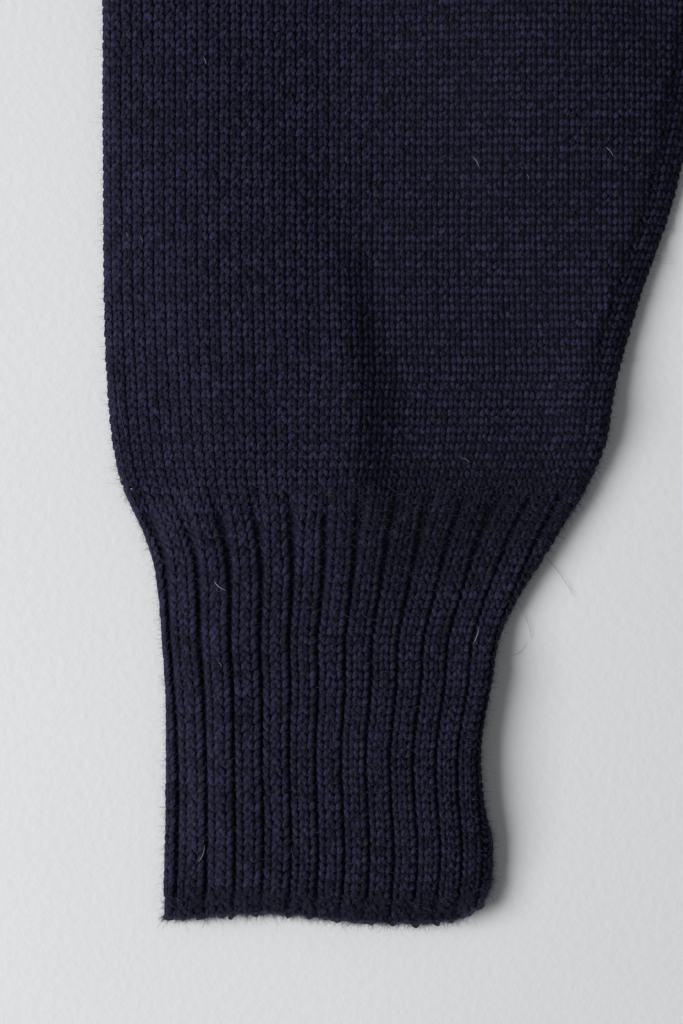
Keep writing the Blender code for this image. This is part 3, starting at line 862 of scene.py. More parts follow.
def knitted_cloth():
    """Plain knitting seen from further off: rows of V-shaped stitches in relief, with painted shade in the
    relief's grooves and where stitches lie over the face.
    """
    if "knitted_cloth" in bpy.data.materials:
        return bpy.data.materials["knitted_cloth"]
    paint = Paint("knitted_cloth")
    cell = paint.node("ShaderNodeUVMap", {"uv_map": "knit"}, {})
    wale = paint.node("ShaderNodeSeparateXYZ", {}, {"Vector": cell}, output="X")
    row = paint.node("ShaderNodeSeparateXYZ", {}, {"Vector": cell}, output="Y")
    away = abs(wale.part() - 0.5)
    rise = row.part()

    def leg(t):
        """The relief of one leg, where t runs from 0 at its foot to 1 at its head."""
        beside = (away - (LEG_FOOT + (LEG_HEAD - LEG_FOOT) * t)) / LEG_RADIUS
        section = (1.0 - beside * beside).at_least(0.0).root()
        bow = (1.0 - (t * 2.0 - 1.0) * (t * 2.0 - 1.0)).at_least(0.0)
        return section * (0.35 + bow * 0.65)

    newer = leg((rise - LEG_START) / LEG_RUN)
    older = leg((rise + (1.0 - LEG_START)) / LEG_RUN)
    relief = newer.at_least(older)
    fibres = paint.noise(1500.0, detail=3.0)
    under_shade = paint.node("ShaderNodeAttribute", {"attribute_name": "under_shade"}, {}, output="Fac")
    # Painted shade: darker in the grooves of the relief, and darker where stitches lie over this face.
    share = (0.35 + relief * 0.74 + (fibres - 0.5) * 1.3) * (1.0 - under_shade * 0.5)
    normal = paint.bump(relief, 0.8 * MM, 0.9)
    wool_shine(paint)
    return paint.finish(heather(paint, share.at_least(0.30)), 0.9, normal)


def stray_wool(name, color):
    """Single fibres that stand off the cloth."""
    if name in bpy.data.materials:
        return bpy.data.materials[name]
    paint = Paint(name)
    pale = scaled(color, 1.5)
    wool_shine(paint)
    return paint.finish(paint.mix(paint.noise(300.0), scaled(color, 0.7), pale), 0.7)


def surface_finish(color):
    """The pale surface below: painted board with a faint mottle."""
    paint = Paint("pale_board")
    cloudy = paint.noise(9.0, detail=4.0)
    grain = paint.noise(420.0, detail=2.0)
    share = (cloudy * 0.6 + grain * 0.4 - 0.2) / 0.6
    tone = paint.mix(share.at_least(0.0).at_most(1.0), scaled(color, 0.965), scaled(color, 1.03))
    paint.shader.inputs["Specular IOR Level"].default_value = 0.25
    return paint.finish(tone, 0.8, paint.bump(grain, 0.25 * MM, 0.35))


# --- Pieces -----------------------------------------------------------------------------------------

def settle(piece):
    """Attach a finished piece to the sweater's one body."""
    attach(piece, BODY)
    return piece


def tube_columns(upper_flat, lower_flat):
    """Steps round a flattened tube: which stretch each belongs to, and the share along it."""
    arc = np.linspace(-1.0, 1.0, 9)
    outer = [(0, turn) for turn in arc]
    upper = [(1, share) for share in np.linspace(0.0, 1.0, upper_flat)[1:]]
    inner = [(2, turn) for turn in arc[::-1][1:]]
    lower = [(3, share) for share in np.linspace(0.0, 1.0, lower_flat)[1:-1]]
    return np.array(outer + upper + inner + lower, dtype=float).T


def tube_rounds(columns, flat):
    """The place round of each step, for a row whose flat part is that wide."""
    stretch, share = columns
    rounds = np.where(stretch == 0, share * QUARTER, 0.0)
    rounds = np.where(stretch == 1, QUARTER + share * flat, rounds)
    rounds = np.where(stretch == 2, flat + 2 * QUARTER - share * QUARTER, rounds)
    return np.where(stretch == 3, flat + 3 * QUARTER + share * flat, rounds)


def sleeve_shell(name, cloth, low, high, rows, flat_columns):
    """One closed wall of a sleeve or cuff, set in by the depth of the stitches that lie on it."""
    sizes = bpy.context.scene.guernsey
    columns = tube_columns(flat_columns, LOWER_COLUMNS)
    outer = []
    inner = []
    lay = []
    shades = []
    turned = np.where(columns[0] == 3, -1.0, np.where(columns[0] == 1, 1.0, np.sin(columns[1] * math.pi / 2)))
    for along in np.linspace(low, high, rows):
        bed = smooth((turned + 0.75) / 0.5) * smooth((CLOSE_UP - along) / (5 * MM))
        depth = BED * bed * (0.4 + 0.6 * smooth(np.abs(turned) / 0.8))
        flat = float(cloth.flat(along))
        rounds = tube_rounds(columns, flat)
        # Painted shade on the shell where stitches lie over it: less in the gaps between ribs, more where the
        # rows stand apart.
        shades.append(bed * (1 - 0.5 * cloth.gaps(rounds, along)) * (1.4 - 0.7 * cloth.eased(rounds, along)))
        outer.append(cloth.face(rounds, along, depth))
        inner.append(cloth.face(rounds, along, WALL, sunk=False))
        wrapped = np.append(rounds, rounds[0] + 2 * flat + 4 * QUARTER)
        lay.append(np.stack([wrapped / sizes.wale, np.full(len(wrapped), along / sizes.row)], -1))
    return closed_wall(name, np.array(outer), np.array(inner), np.array(lay), True, np.array(shades))


def sleeve_wale(cloth, along):
    """The width of a sleeve's wales, which close up as it draws into its cuff."""
    closing = cloth.reach(np.minimum(along, GATHER)) / cloth.reach(GATHER)
    return bpy.context.scene.guernsey.wale * closing


def plain_lanes(cloth, low, high):
    """The middles of a sleeve's stitches: wales from the outer edge, and a few along the inner edge."""
    sizes = bpy.context.scene.guernsey
    starts = np.arange(low, high - 0.4 * sizes.row, sizes.row)
    most = int(cloth.reach(SLEEVE) / sizes.wale) + 2
    index, start = np.meshgrid(np.arange(most), starts, indexing="ij")
    fits = (index + EDGE_WALES + 0.4) * sleeve_wale(cloth, start) < cloth.reach(start)
    edge_index, edge_start = np.meshgrid(np.arange(EDGE_WALES), starts, indexing="ij")
    index = np.concatenate([index[fits], edge_index.ravel()])
    start = np.concatenate([start[fits], edge_start.ravel()])
    from_inner = np.arange(len(index)) >= np.count_nonzero(fits)
    index = index[:, None, None]
    from_inner = from_inner[:, None, None]

    def wale(along):
        return sleeve_wale(cloth, along)

    def lane(along):
        place = (index + 0.5) * wale(along)
        return np.where(from_inner, cloth.reach(along) - place, place)

    return lane, wale, start


def cuff_starts(row):
    """Where the rows of a cuff's knit stitches start. The sleeve's own rows go on from the last one."""
    return np.arange(CAST_ON_ROWS * row, CUFF - row, row)


def rib_lanes(cloth, seed):
    """The middles of a cuff's knit stitches: two wales a rib, on round both folds.

    At the top they run on from the nearest wales of the sleeve, whose other wales come down a few rows
    between them before they turn to purl."""
    sizes = bpy.context.scene.guernsey
    starts = cuff_starts(sizes.row)
    ribs = np.arange(-1, CUFF_RIBS + 1)
    rib, half, start = [grid.ravel() for grid in np.meshgrid(ribs, [-0.5, 0.5], starts, indexing="ij")]
    place = (cloth.rib_edge(rib, start) + cloth.rib_edge(rib + 1, start)) / 2 + half * cloth.wale(rib, start)
    keep = (place > -0.85 * QUARTER) & (place < cloth.reach(start) + 0.85 * QUARTER)
    rib, half, start = rib[keep], half[keep], start[keep]

    def nearest(rib):
        middle = (cloth.rib_edge(rib, CUFF) + cloth.rib_edge(rib + 1, CUFF)) / 2
        return np.round(middle / sleeve_wale(cloth, CUFF))

    wales = np.arange(0, int(cloth.reach(CUFF) / sleeve_wale(cloth, CUFF)) - EDGE_WALES)
    between = wales[~np.isin(wales, nearest(ribs)) & ~np.isin(wales, nearest(ribs) - 1)]
    rows = np.random.default_rng(seed).integers(2, 5, len(between))
    other = np.repeat(between, rows)
    other_start = np.concatenate([starts[-count:] for count in rows])
    kept = len(start)
    rib = np.concatenate([rib, np.zeros(len(other), int)])[:, None, None]
    half = np.concatenate([half, np.zeros(len(other))])[:, None, None]
    start = np.concatenate([start, other_start])
    from_sleeve = (np.arange(len(start)) >= kept)[:, None, None]
    column = np.concatenate([np.zeros(kept), other + 0.5])[:, None, None]
    top = np.where(from_sleeve, column, nearest(rib) + half)

    def wale(along):
        return np.where(from_sleeve, sleeve_wale(cloth, along), cloth.wale(rib, along))

    def lane(along):
        middle = (cloth.rib_edge(rib, along) + cloth.rib_edge(rib + 1, along)) / 2
        meet = np.where(from_sleeve, 1.0, smooth((along - CUFF + RIB_MEET) / RIB_MEET))
        return (1 - meet) * (middle + half * wale(along)) + meet * top * sleeve_wale(cloth, along)

    return lane, wale, start


def purl_bumps(cloth, low, high, seed, name, detail):
    """The purl stitches at the bottom of each gap between two ribs, two side by side."""
    sizes = bpy.context.scene.guernsey
    starts = np.arange(low, high, sizes.row)
    rib, half, start = np.meshgrid(np.arange(0, CUFF_RIBS + 1), [-0.5, 0.5], starts, indexing="ij")
    rib, half, start = rib.ravel(), half.ravel(), start.ravel()
    gap = cloth.rib_edge(rib, start) - cloth.rib_edge(rib - 1, start) - 2 * cloth.wale(rib - 1, start)
    middle = cloth.rib_edge(rib, start) + half * gap
    rise = 0.25 * sizes.row * np.sign(half)
    keep = (middle > -0.5 * QUARTER) & (middle < cloth.reach(start) + 0.5 * QUARTER)
    middle, start, gap, rise = middle[keep], start[keep], gap[keep], rise[keep]
    # The purl stitches are painted darker, as shade at the bottom of the gaps.
    return short_rolls(name, cloth, middle, start + 0.5 * sizes.row, 0.5 * gap, rise, PURL_RADIUS,
                       np.full((len(start), 1), PURL_LIFT), detail, seed, PURL_SHADE)


def cast_on(cloth, seed, name, detail):
    """The cast-on edge of a cuff: rows of slack, uneven loops, with a small knob below each gap."""
    reach = float(cloth.reach(0.0))
    chance = np.random.default_rng(seed)
    rows = []
    for up in CAST_ON_HEIGHTS:
        middle = np.arange(-0.9 * QUARTER, reach + 0.9 * QUARTER, CAST_ON_PITCH)
        middle = middle + 0.25 * CAST_ON_PITCH * chance.normal(0.0, 1.0, len(middle))
        along = up + CAST_ON_DRIFT * chance.normal(0.0, 1.0, len(middle))
        along = along + 0.35 * MM * np.sin(middle / (3.1 * MM))
        rows.append(np.stack([middle, np.maximum(along, 0.2 * MM)]))
    ribs = np.arange(0, CUFF_RIBS + 1)
    knobs = cloth.rib_edge(ribs, 0.0) + 0.9 * MM * chance.normal(0.0, 1.0, len(ribs))
    knobs = knobs[(knobs > 0) & (knobs < reach)]
    rows.append(np.stack([knobs, np.full(len(knobs), -0.2 * MM)]))
    middle, along = np.concatenate(rows, 1)
    count = len(middle)
    half = CAST_ON_HALF + 0.22 * MM * chance.normal(0.0, 1.0, count)
    half[-len(knobs):] = KNOB_HALF
    rise = 0.55 * MM * chance.normal(0.2, 1.0, count)
    radius = (CAST_ON_RADIUS + 0.14 * MM * chance.normal(0.0, 1.0, count))[:, None]
    lift = -0.80 * MM - 0.25 * MM * chance.random(count)[:, None]
    # Painted shade on the cast-on loops; the lowest row and the knobs get less, a painted highlight along the
    # cuff's bottom edge.
    tint = np.where(along < 1.2 * MM, -1.0, -2.4)
    return short_rolls(name, cloth, middle, along, half, rise, radius, lift, detail, seed, tint, 0.75)


def loose_fibres(name, cloth, rounds, alongs, past_end, length, thickness, lean, material, seed):
    """Fine fibres that curl up out of a knitted face. past_end is 1 for those that point off its end."""
    chance = np.random.default_rng(seed)
    count = len(rounds)
    base, out = lay_on(cloth, rounds, alongs, np.full(count, -0.3 * MM))
    heading = chance.uniform(0.0, 2 * math.pi, count)
    sideways = np.stack([np.cos(heading), np.sin(heading), np.zeros(count)], -1)
    off = unit(cloth.face(rounds, alongs - 0.5 * MM, sunk=False) - cloth.face(rounds, alongs, sunk=False))
    sideways = unit(sideways + 1.6 * past_end[:, None] * off)
    run = unit(sideways * lean + out * (1 - lean) + 0.25 * chance.normal(0.0, 1.0, (count, 3)))
    curl = np.cross(run, unit(chance.normal(0.0, 1.0, (count, 3))))
    t = np.linspace(0.0, 1.0, FIBRE_POINTS)[None, :, None]
    span = (length * chance.lognormal(0.0, 0.45, count))[:, None, None]
    bow = chance.normal(0.0, 0.55, count)[:, None, None]
    centre = base[:, None, :] + span * (t * run[:, None, :] + bow * t * t * curl[:, None, :])
    centre[..., 2] = np.maximum(centre[..., 2], 0.15 * MM)
    up = np.broadcast_to(np.array([0.0, 0.0, 1.0]), centre.shape) + 0.01 * curl[:, None, :]
    radius = np.broadcast_to(thickness / 2 * (1 - 0.75 * t[..., 0] ** 2), (count, FIBRE_POINTS))
    return strands(name, centre, up, radius, (0.0, math.pi), 1.0, False, material, np.zeros(count))


def laid_hairs(name, color, material):
    """The longer hairs of one colour, lying where they fell: on the sleeve, or beside it."""
    rows = np.array([row[1:] for row in HAIRS if row[0] == color]) * MM
    t = np.linspace(0.0, 1.0, 7)[None, :]
    first, bend, last = (1 - t) ** 2, 2 * t * (1 - t), t ** 2
    along = rows[:, 0:1] * first + rows[:, 2:3] * bend + rows[:, 4:5] * last
    across = rows[:, 1:2] * first + rows[:, 3:4] * bend + rows[:, 5:6] * last
    x, y = sleeve_place(along, across, "right")
    inset = follow(SLEEVE_OUTLINE, 1, along) * MM
    past = across - inset - follow(SLEEVE_OUTLINE, 2, along) * MM
    fall = smooth((past + 2 * MM) / (5 * MM))
    height = (upper_height(x, y) + 0.25 * MM) * (1 - fall) + 0.3 * MM
    height = height + 0.5 * MM * np.sin(math.pi * t)
    centre = np.stack([x, y, height], -1)
    up = np.broadcast_to(np.array([0.0, 0.0, 1.0]), centre.shape)
    radius = rows[:, 6:7] / 2 * (1 - 0.7 * (2 * t - 1) ** 4)
    turns = np.radians([90, 210, 330])
    return strands(name, centre, up, radius, turns, 1.0, True, material, np.zeros(len(rows)))


# --- Operators --------------------------------------------------------------------------------------

class GuernseySizes(bpy.types.PropertyGroup):
    """What a user may change about the knitting."""

    wale: bpy.props.FloatProperty(
        name="Stitch width", description="Width of one stitch", default=3.0 * MM, unit="LENGTH")
    row: bpy.props.FloatProperty(
        name="Row height", description="Height of one row", default=2.4 * MM, unit="LENGTH")
    yarn_color: bpy.props.FloatVectorProperty(
        name="Yarn", description="Colour of the wool", default=(0.0107, 0.0098, 0.0259), subtype="COLOR")
    fuzz: bpy.props.IntProperty(
        name="Fuzz", description="Short fibres on the right sleeve and its cuff", default=19200)


class StageSizes(bpy.types.PropertyGroup):
    """What a user may change about the surface, the light and the view."""

    board: bpy.props.FloatVectorProperty(
        name="Surface", description="Colour of the surface below", default=(0.735, 0.74, 0.75),
        subtype="COLOR")
    daylight: bpy.props.FloatProperty(
        name="Daylight", description="Power of the large soft light", default=60.0, unit="POWER")
    ambient: bpy.props.FloatProperty(
        name="Ambient", description="Strength of the light from all round", default=0.20)
    lens: bpy.props.FloatProperty(
        name="Lens", description="Focal length, in millimetres", default=85.0)


class MakeStage(bpy.types.Operator):
    """Lay the pale surface, light it from one side and stand the camera above the cuff"""

    bl_idname = "guernsey.stage"
    bl_label = "Stage"

    view_along = 111.65 * MM        # the middle of the view, up the right sleeve
    view_across = 65.9 * MM         # and across it
    view_height = 281.6 * MM        # what the view takes in from top to bottom
    sensor = 36.0
    light_elevation = math.radians(36)
    light_turn = math.radians(186)  # from the view's right, against the clock
    light_away = 2.1
    light_size = 1.25
    board_half = 4.0                # half the width of the surface

    def execute(self, context):
        stage = context.scene.guernsey_stage
        half = self.board_half
        corners = np.array([(-half, -half, 0), (half, -half, 0), (half, half, 0), (-half, half, 0)])
        board = mesh_object("pale_board", corners, np.array([[0, 1, 2, 3]]), [surface_finish(stage.board)])

        x, y = sleeve_place(self.view_along, self.view_across, "right")
        lens = bpy.data.cameras.new("camera")
        lens.lens = stage.lens
        lens.sensor_width = self.sensor
        lens.clip_start = 0.01
        camera = bpy.data.objects.new("camera", lens)
        above = self.view_height * stage.lens / self.sensor
        camera.location = (float(x), float(y), STACK + above)
        camera.rotation_euler = (0.0, 0.0, -SLEEVE_LEAN)
        context.collection.objects.link(camera)
        context.scene.camera = camera

        turn = self.light_turn - SLEEVE_LEAN
        away = np.array([math.cos(turn) * math.cos(self.light_elevation),
                         math.sin(turn) * math.cos(self.light_elevation),
                         math.sin(self.light_elevation)]) * self.light_away
        lamp = bpy.data.lights.new("window", "AREA")
        lamp.shape = "SQUARE"
        lamp.size = self.light_size
        lamp.energy = stage.daylight
        light = bpy.data.objects.new("window", lamp)
        light.location = (float(x) + away[0], float(y) + away[1], away[2])
        light.rotation_euler = (math.radians(90) - self.light_elevation, 0.0, turn + math.radians(90))
        context.collection.objects.link(light)

        world = bpy.data.worlds.new("room")
        world.use_nodes = True
        back = world.node_tree.nodes["Background"]
        back.inputs["Color"].default_value = (0.97, 0.985, 1.0, 1.0)
        back.inputs["Strength"].default_value = stage.ambient
        context.scene.world = world
        context.scene.view_settings.view_transform = "Standard"
        return {"FINISHED"}


class MakeBody(bpy.types.Operator):
    """Knit the front and the back"""

    bl_idname = "guernsey.body"
    bl_label = "Front and back"

    neck_columns = 48
    shoulder_columns = 36
    low_rows = 80
    high_rows = 60
    roll = np.radians([0.0, 15.0, 30.0, 45.0, 60.0, 75.0, 90.0])

    def panel(self, name, drop, upper):
        """A sheet whose side and shoulder edges roll half way round a fold."""
        sizes = bpy.context.scene.guernsey
        reach = SHOULDER_HALF - FOLD
        neck = np.linspace(-NECK_HALF, NECK_HALF, self.neck_columns + 1) / reach
        left = np.linspace(-1.0, neck[0], self.shoulder_columns + 1)[:-1]
        inside = np.concatenate([left, neck, -left[::-1]])
        turned = len(self.roll) - 1
        share = np.concatenate([-np.ones(turned), inside, np.ones(turned)])
        side = np.sign(share)
        turn_x = np.concatenate([self.roll[:0:-1], np.zeros(len(inside)), self.roll[1:]])
        at_edge = np.concatenate([np.ones(turned), np.zeros(len(inside)), np.ones(turned)])
        low = np.linspace(0.0, 1.0, self.low_rows + 1)
        low = np.concatenate([low, np.ones(self.high_rows + turned)])[:, None]
        high = np.concatenate([np.zeros(self.low_rows), np.linspace(0.0, 1.0, self.high_rows + 1)])
        high = np.concatenate([high, np.ones(turned)])[:, None]
        turn_y = np.concatenate([np.zeros(self.low_rows + self.high_rows + 1), self.roll[1:]])[:, None]
        hem = WELT_Y + SEAM / 2
        top_x = np.where(at_edge > 0, side * (SHOULDER_HALF - FOLD * (1 - np.sin(turn_x))), share * reach)
        slope = SHOULDER_FALL / (SHOULDER_HALF - NECK_HALF)
        shoulder = NECK_Y - slope * (np.abs(top_x) - NECK_HALF)
        top_y = np.where(np.abs(top_x) < NECK_HALF, neck_edge(top_x, drop), shoulder)
        roll_top = smooth((np.abs(top_x) - NECK_HALF) / (2 * FOLD))
        grids = []
        for lining in (False, True):
            inset_y = self.inset(turn_y, roll_top, lining)
            y = hem + low * (UNDERARM_Y - hem) + high * (top_y - FOLD - UNDERARM_Y)
            y = y + (FOLD - inset_y) * (turn_y > 0)
            half = np.interp(y, [UNDERARM_Y, SHOULDER_Y], [CHEST_HALF, SHOULDER_HALF])
            opens_below = smooth((y - WELT_Y) / SIDE_RAMP)
            opens_above = 1 - smooth((y - UNDERARM_Y + SIDE_RAMP) / SIDE_RAMP)
            roll_side = opens_below * opens_above
            x = np.where(at_edge > 0, side * (half - self.inset(turn_x, roll_side, lining)),
                         share * (half - FOLD))
            drawn = 1 - (1 - roll_side * (1 - np.cos(turn_x))) * (1 - roll_top * (1 - np.cos(turn_y)))
            if upper:
                level = upper_height(x, y) - (WALL if lining else 0.0)
                seam = MIDDLE + SEAM / 2
            else:
                level = WALL if lining else 0.0
                seam = MIDDLE - SEAM / 2
            grids.append(np.stack(np.broadcast_arrays(x, y, level + (seam - level) * drawn), -1))
        lay = grids[0][..., :2] / np.array([sizes.wale, sizes.row])
        return closed_wall(name, grids[0], grids[1], lay, False, 0.0)

    @staticmethod
    def inset(turn, amount, lining):
        """How far a face stands in from the edge, part way round a fold."""
        if not lining:
            return FOLD * (1 - np.sin(turn))
        inside = WALL + (FOLD - WALL) * (1 - np.sin(turn))
        return (1 - amount) * FOLD * (1 - np.sin(turn)) + amount * inside

    def execute(self, context):
        for name, drop, upper, below in (("front", FRONT_NECK_DROP, True, "body_back"),
                                         ("back", BACK_NECK_DROP, False, "pale_board")):
            piece = settle(self.panel("body_" + name, drop, upper))
            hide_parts(name)
        return {"FINISHED"}


class MakeWelts(bpy.types.Operator):
    """Knit the two garter welts, with their bumps"""

    bl_idname = "guernsey.welts"
    bl_label = "Welts"

    columns = 90
    ridge_steps = 8                 # rows of the mesh for each garter ridge
    lower_rows = 12
    bump_half = 0.9 * MM            # half the length of a bump
    bump_radius = 0.62 * MM
    bump_lift = -0.35 * MM          # from the cloth's face to the middle of a bump

    def execute(self, context):
        sizes = context.scene.guernsey
        rounds = np.linspace(-CHEST_HALF, CHEST_HALF, self.columns)[None, :]
        rows = np.linspace(0.0, WELT - SEAM / 2, self.ridge_steps * WELT_RIDGES + 1)[:, None]
        cloth = Flat(ridged=True)
        lay = np.stack(np.broadcast_arrays(rounds / sizes.wale, rows / sizes.row), -1)
        # The 0.6 below is painted shade on the welt's face, under its garter bumps.
        shell = closed_wall("welt_upper", cloth.face(rounds, rows, 0.5 * MM),
                            Flat().face(rounds, rows, WALL), lay, False, 0.6)
        settle(shell)
        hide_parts("welt_front")
        middle, ridge = np.meshgrid(np.arange(-CHEST_HALF + 0.8 * MM, CHEST_HALF, sizes.wale / 2),
                                    np.arange(2 * WELT_RIDGES), indexing="ij")
        along = (ridge + 0.5) / (2 * WELT_RIDGES) * WELT + 0.22 * MM * (-1.0) ** ridge
        keep = np.abs(middle).ravel() < CHEST_HALF - self.bump_half
        middle = (middle + (ridge % 2) * sizes.wale / 4).ravel()[keep]
        along = along.ravel()[keep]
        rise = 0.35 * MM * np.where(np.arange(len(middle)) % 2 == 0, 1.0, -1.0)
        half = np.full(len(middle), self.bump_half)
        bumps = short_rolls("welt_upper_bumps", cloth, middle, along, half, rise, self.bump_radius,
                            self.bump_lift, COARSE, 71)
        settle(bumps)
        flat_rows = np.linspace(0.0, WELT - SEAM / 2, self.lower_rows)[:, None]
        x, y = np.broadcast_arrays(rounds, HEM_Y + flat_rows)
        lay = np.stack(np.broadcast_arrays(rounds / sizes.wale, flat_rows / sizes.row), -1)
        lower = closed_wall("welt_lower", np.stack([x, y, np.zeros_like(x)], -1),
                            np.stack([x, y, np.full_like(x, WALL)], -1), lay, False, 0.0)
        settle(lower)
        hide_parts("welt_back")
        return {"FINISHED"}


class MakeNeckband(bpy.types.Operator):
    """Knit the ribbed neckband"""

    bl_idname = "guernsey.neckband"
    bl_label = "Neckband"

    rows = 26

    def execute(self, context):
        sizes = context.scene.guernsey
        cloth = Band()
        columns = tube_columns(8 * BAND_RIBS + 1, 60)
        stretch = columns[0]
        turn = np.where(stretch == 0, columns[1], np.where(stretch == 2, columns[1], 0.0)) * math.pi / 2
        turn = np.where(stretch == 1, math.pi / 2, np.where(stretch == 3, -math.pi / 2, turn))
        side = np.where(stretch == 0, -1.0, np.where(stretch == 2, 1.0, 0.0))
        flat = 2 * (NECK_HALF - FOLD)
        share = np.where(stretch == 1, columns[1], np.where(stretch == 3, 1 - columns[1], (1 + side) / 2))
        grids = ([], [])
        lay = []
        for along in np.linspace(0.0, BAND_RISE, self.rows):
            rounds = tube_rounds(columns, flat)
            wrapped = np.append(rounds, 2 * flat + 3 * QUARTER)
            lay.append(np.stack([wrapped / sizes.wale, np.full(len(wrapped), along / sizes.row)], -1))
            for below, grid in ((BED * smooth((np.sin(turn) + 0.5) * 2), grids[0]), (WALL, grids[1])):
                across = FOLD + share * flat + side * np.cos(turn) * (FOLD - below) - NECK_HALF
                x, y = cloth.place(across, along, np.sin(turn) > 0)
                level = (1 + np.sin(turn)) / 2
                height = below + (upper_height(x, y) - 2 * below) * level
                if grid is grids[0]:
                    height = height - cloth.sink(across) * (level > 0.99)
                grid.append(np.stack([x, y, height], -1))
        # Painted shade on the upper layer, under the neckband's stitches.
        under_shade = smooth((np.sin(turn) + 0.5) * 2)
        shell = closed_wall("neck_rib", np.array(grids[0]), np.array(grids[1]), np.array(lay), True, under_shade)
        settle(shell)
        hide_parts("neckband")

        starts = np.arange(0.2 * sizes.row, BAND_RISE - 1.1 * sizes.row, sizes.row)
        rib, half, start = np.meshgrid(np.arange(BAND_RIBS), [-0.5, 0.5], starts, indexing="ij")
        middle = (FOLD - NECK_HALF + (rib + 0.5) * cloth.pitch).reshape(-1, 1, 1)
        half = half.reshape(-1, 1, 1)
        width = 0.36 * cloth.pitch

        def wale(along):
            return np.full(np.shape(along), width)

        def lane(along):
            return middle + half * width + 0.0 * along

        stitches = knit_stitches("neck_rib_stitches", cloth, lane, wale, start.ravel(), sizes.row, MEDIUM, 61)
        settle(stitches)
        return {"FINISHED"}


class MakeSleeves(bpy.types.Operator):
    """Knit both sleeves in plain stockinette"""

    bl_idname = "guernsey.sleeves"
    bl_label = "Sleeves"

    rows = 90
    columns = 52                    # across the upper layer's flat part

    def execute(self, context):
        sizes = context.scene.guernsey
        bottom = cuff_starts(sizes.row)[-1] + sizes.row
        for side, detail, seed in (("right", MEDIUM, 11), ("left", COARSE, 21)):
            cloth = Sleeve(side, False)
            low = CUFF + SEAM / 2
            shell = sleeve_shell("arm_" + side, cloth, low, SLEEVE, self.rows, self.columns)
            settle(shell)
            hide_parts("sleeve_" + side)
            lane, wale, start = plain_lanes(cloth, bottom, CLOSE_UP)
            name = "arm_" + side + "_stitches"
            stitches = knit_stitches(name, cloth, lane, wale, start, sizes.row, detail, seed)
            settle(stitches)
            widest = 2 * float(follow(SLEEVE_OUTLINE, 2, SLEEVE)) * MM
        return {"FINISHED"}


class MakeCuffs(bpy.types.Operator):
    """Knit both ribbed cuffs, with their purl stitches and cast-on edges"""

    bl_idname = "guernsey.cuffs"
    bl_label = "Cuffs"

    rows = 44
    columns = 133                   # across the upper layer's flat part

    def execute(self, context):
        sizes = context.scene.guernsey
        for side, detail, rolls, seed in (("right", FINE, MEDIUM, 31), ("left", COARSE, COARSE, 41)):
            cloth = Sleeve(side, True)
            name = "cuff_rib_" + side
            shell = settle(sleeve_shell(name, cloth, 0.0, CUFF - SEAM / 2, self.rows, self.columns))
            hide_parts("cuff_" + side)
            lane, wale, start = rib_lanes(cloth, seed + 3)
            stitches = knit_stitches(name + "_stitches", cloth, lane, wale, start, sizes.row, detail, seed)
            purls = purl_bumps(cloth, CAST_ON_ROWS * sizes.row, CUFF - 2 * sizes.row, seed + 1,
                               name + "_purls", COARSE)
            edge = cast_on(cloth, seed + 2, name + "_edge", rolls)
            pieces = [settle(piece) for piece in (stitches, purls, edge)]
        return {"FINISHED"}


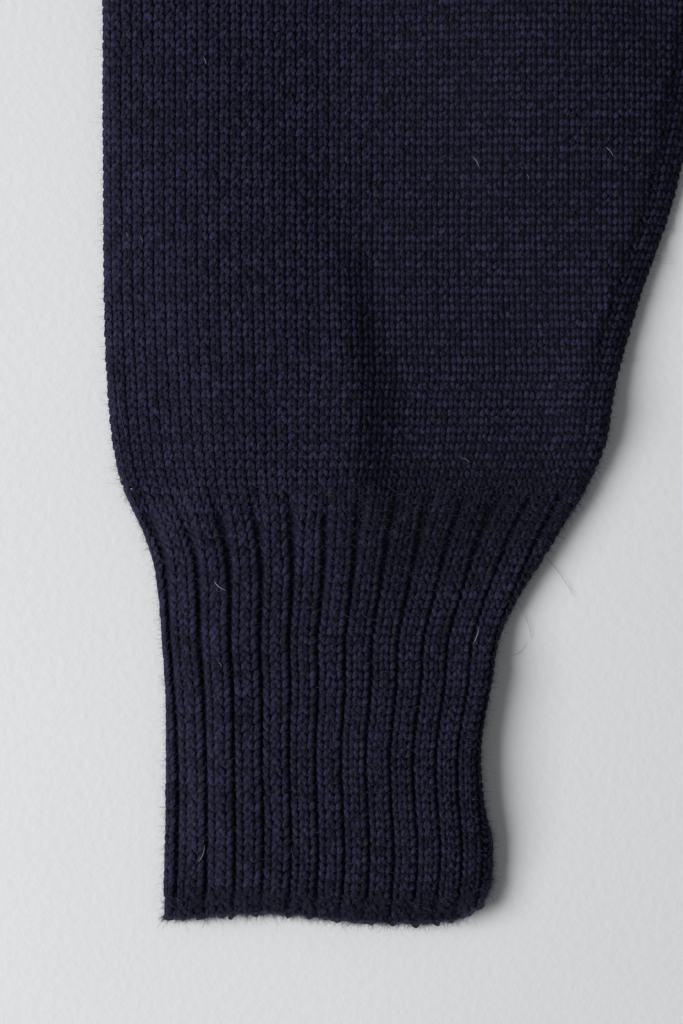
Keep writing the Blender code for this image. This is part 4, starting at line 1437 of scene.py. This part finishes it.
class MakeFibres(bpy.types.Operator):
    """Raise the wool's loose fibres on the right sleeve and its cuff"""

    bl_idname = "guernsey.fibres"
    bl_label = "Loose fibres"

    length = 1.3 * MM
    thickness = 0.045 * MM
    lean = 0.6                      # how far they lie over, from 0 straight out to 1 along the cloth
    by_seam = 0.10                  # the share of them beside the seam between sleeve and cuff
    seam_reach = 9 * MM             # how far from that seam they lie, as the usual error
    hem_reach = 0.3 * MM            # and from the cuff's end
    edge_reach = 1.1 * MM           # and from a sleeve's edge
    outer_share = 0.35              # of those at the edges, the share at the outer one
    navy = (0.050, 0.050, 0.076)
    hair_colors = (
        ("pale", (0.30, 0.30, 0.33)),
        ("blue", (0.07, 0.08, 0.16)),
        ("dark", (0.030, 0.028, 0.034)))

    def strew(self, chance, cloth, low, high, count, at_edge, at_hem):
        """Where fibres stand, round and along, with the shares of them at the edges and at the hem."""
        alongs = chance.uniform(low, high, count)
        away = np.abs(chance.normal(0.0, self.seam_reach, count))
        beside_seam = low + away if low == CUFF else high - away
        alongs = np.where(chance.random(count) < self.by_seam, beside_seam, alongs)
        hem = chance.random(count) < at_hem
        alongs = np.where(hem, np.abs(chance.normal(0.0, self.hem_reach, count)), alongs)
        edge = (chance.random(count) < at_edge) & ~hem
        inward = np.abs(chance.normal(0.0, self.edge_reach, count))
        reach = cloth.reach(alongs)
        near = np.where(chance.random(count) < self.outer_share, inward, reach - inward)
        rounds = np.where(edge, near, chance.uniform(0.0, 1.0, count) * reach)
        return rounds, alongs, hem.astype(float)

    def execute(self, context):
        fuzz = context.scene.guernsey.fuzz
        navy = stray_wool("stray_navy", self.navy)
        chance = np.random.default_rng(5)
        for name, cloth, low, high, share, at_edge, at_hem, slot in (
                ("plain", Sleeve("right", False), CUFF, CLOSE_UP, 0.15, 0.75, 0.0, "stockinette"),
                ("rib", Sleeve("right", True), 0.0, CUFF, 0.85, 0.38, 0.30, "rib")):
            places = self.strew(chance, cloth, low, high, int(fuzz * share), at_edge, at_hem)
            piece = loose_fibres("fuzz_" + name, cloth, *places, self.length, self.thickness, self.lean,
                                 navy, 81)
            settle(piece)
        for color, value in self.hair_colors:
            material = stray_wool("hair_" + color, value)
            settle(laid_hairs("hairs_" + color, color, material))
        return {"FINISHED"}


class GuernseyPanel(bpy.types.Panel):
    """Buttons that knit the guernsey, a piece at a time"""

    bl_idname = "VIEW3D_PT_guernsey"
    bl_label = "Guernsey"
    bl_space_type = "VIEW_3D"
    bl_region_type = "UI"
    bl_category = "Guernsey"

    def draw(self, context):
        for name in ("wale", "row", "yarn_color", "fuzz"):
            self.layout.prop(context.scene.guernsey, name)
        for name in ("board", "daylight", "ambient", "lens"):
            self.layout.prop(context.scene.guernsey_stage, name)
        for step in STEPS:
            self.layout.operator(step.bl_idname)


STEPS = (MakeStage, MakeBody, MakeWelts, MakeNeckband, MakeSleeves, MakeCuffs, MakeFibres)
CLASSES = (GuernseySizes, StageSizes) + STEPS + (GuernseyPanel,)


def register():
    for each in CLASSES:
        bpy.utils.register_class(each)
    bpy.types.Scene.guernsey = bpy.props.PointerProperty(type=GuernseySizes)
    bpy.types.Scene.guernsey_stage = bpy.props.PointerProperty(type=StageSizes)


def unregister():
    del bpy.types.Scene.guernsey_stage
    del bpy.types.Scene.guernsey
    for each in reversed(CLASSES):
        bpy.utils.unregister_class(each)


def main():
    """Knit the whole sweater."""
    register()
    bpy.ops.guernsey.stage()
    bpy.ops.guernsey.body()
    bpy.ops.guernsey.welts()
    bpy.ops.guernsey.neckband()
    bpy.ops.guernsey.sleeves()
    bpy.ops.guernsey.cuffs()
    bpy.ops.guernsey.fibres()


if __name__ == "__main__":
    main()
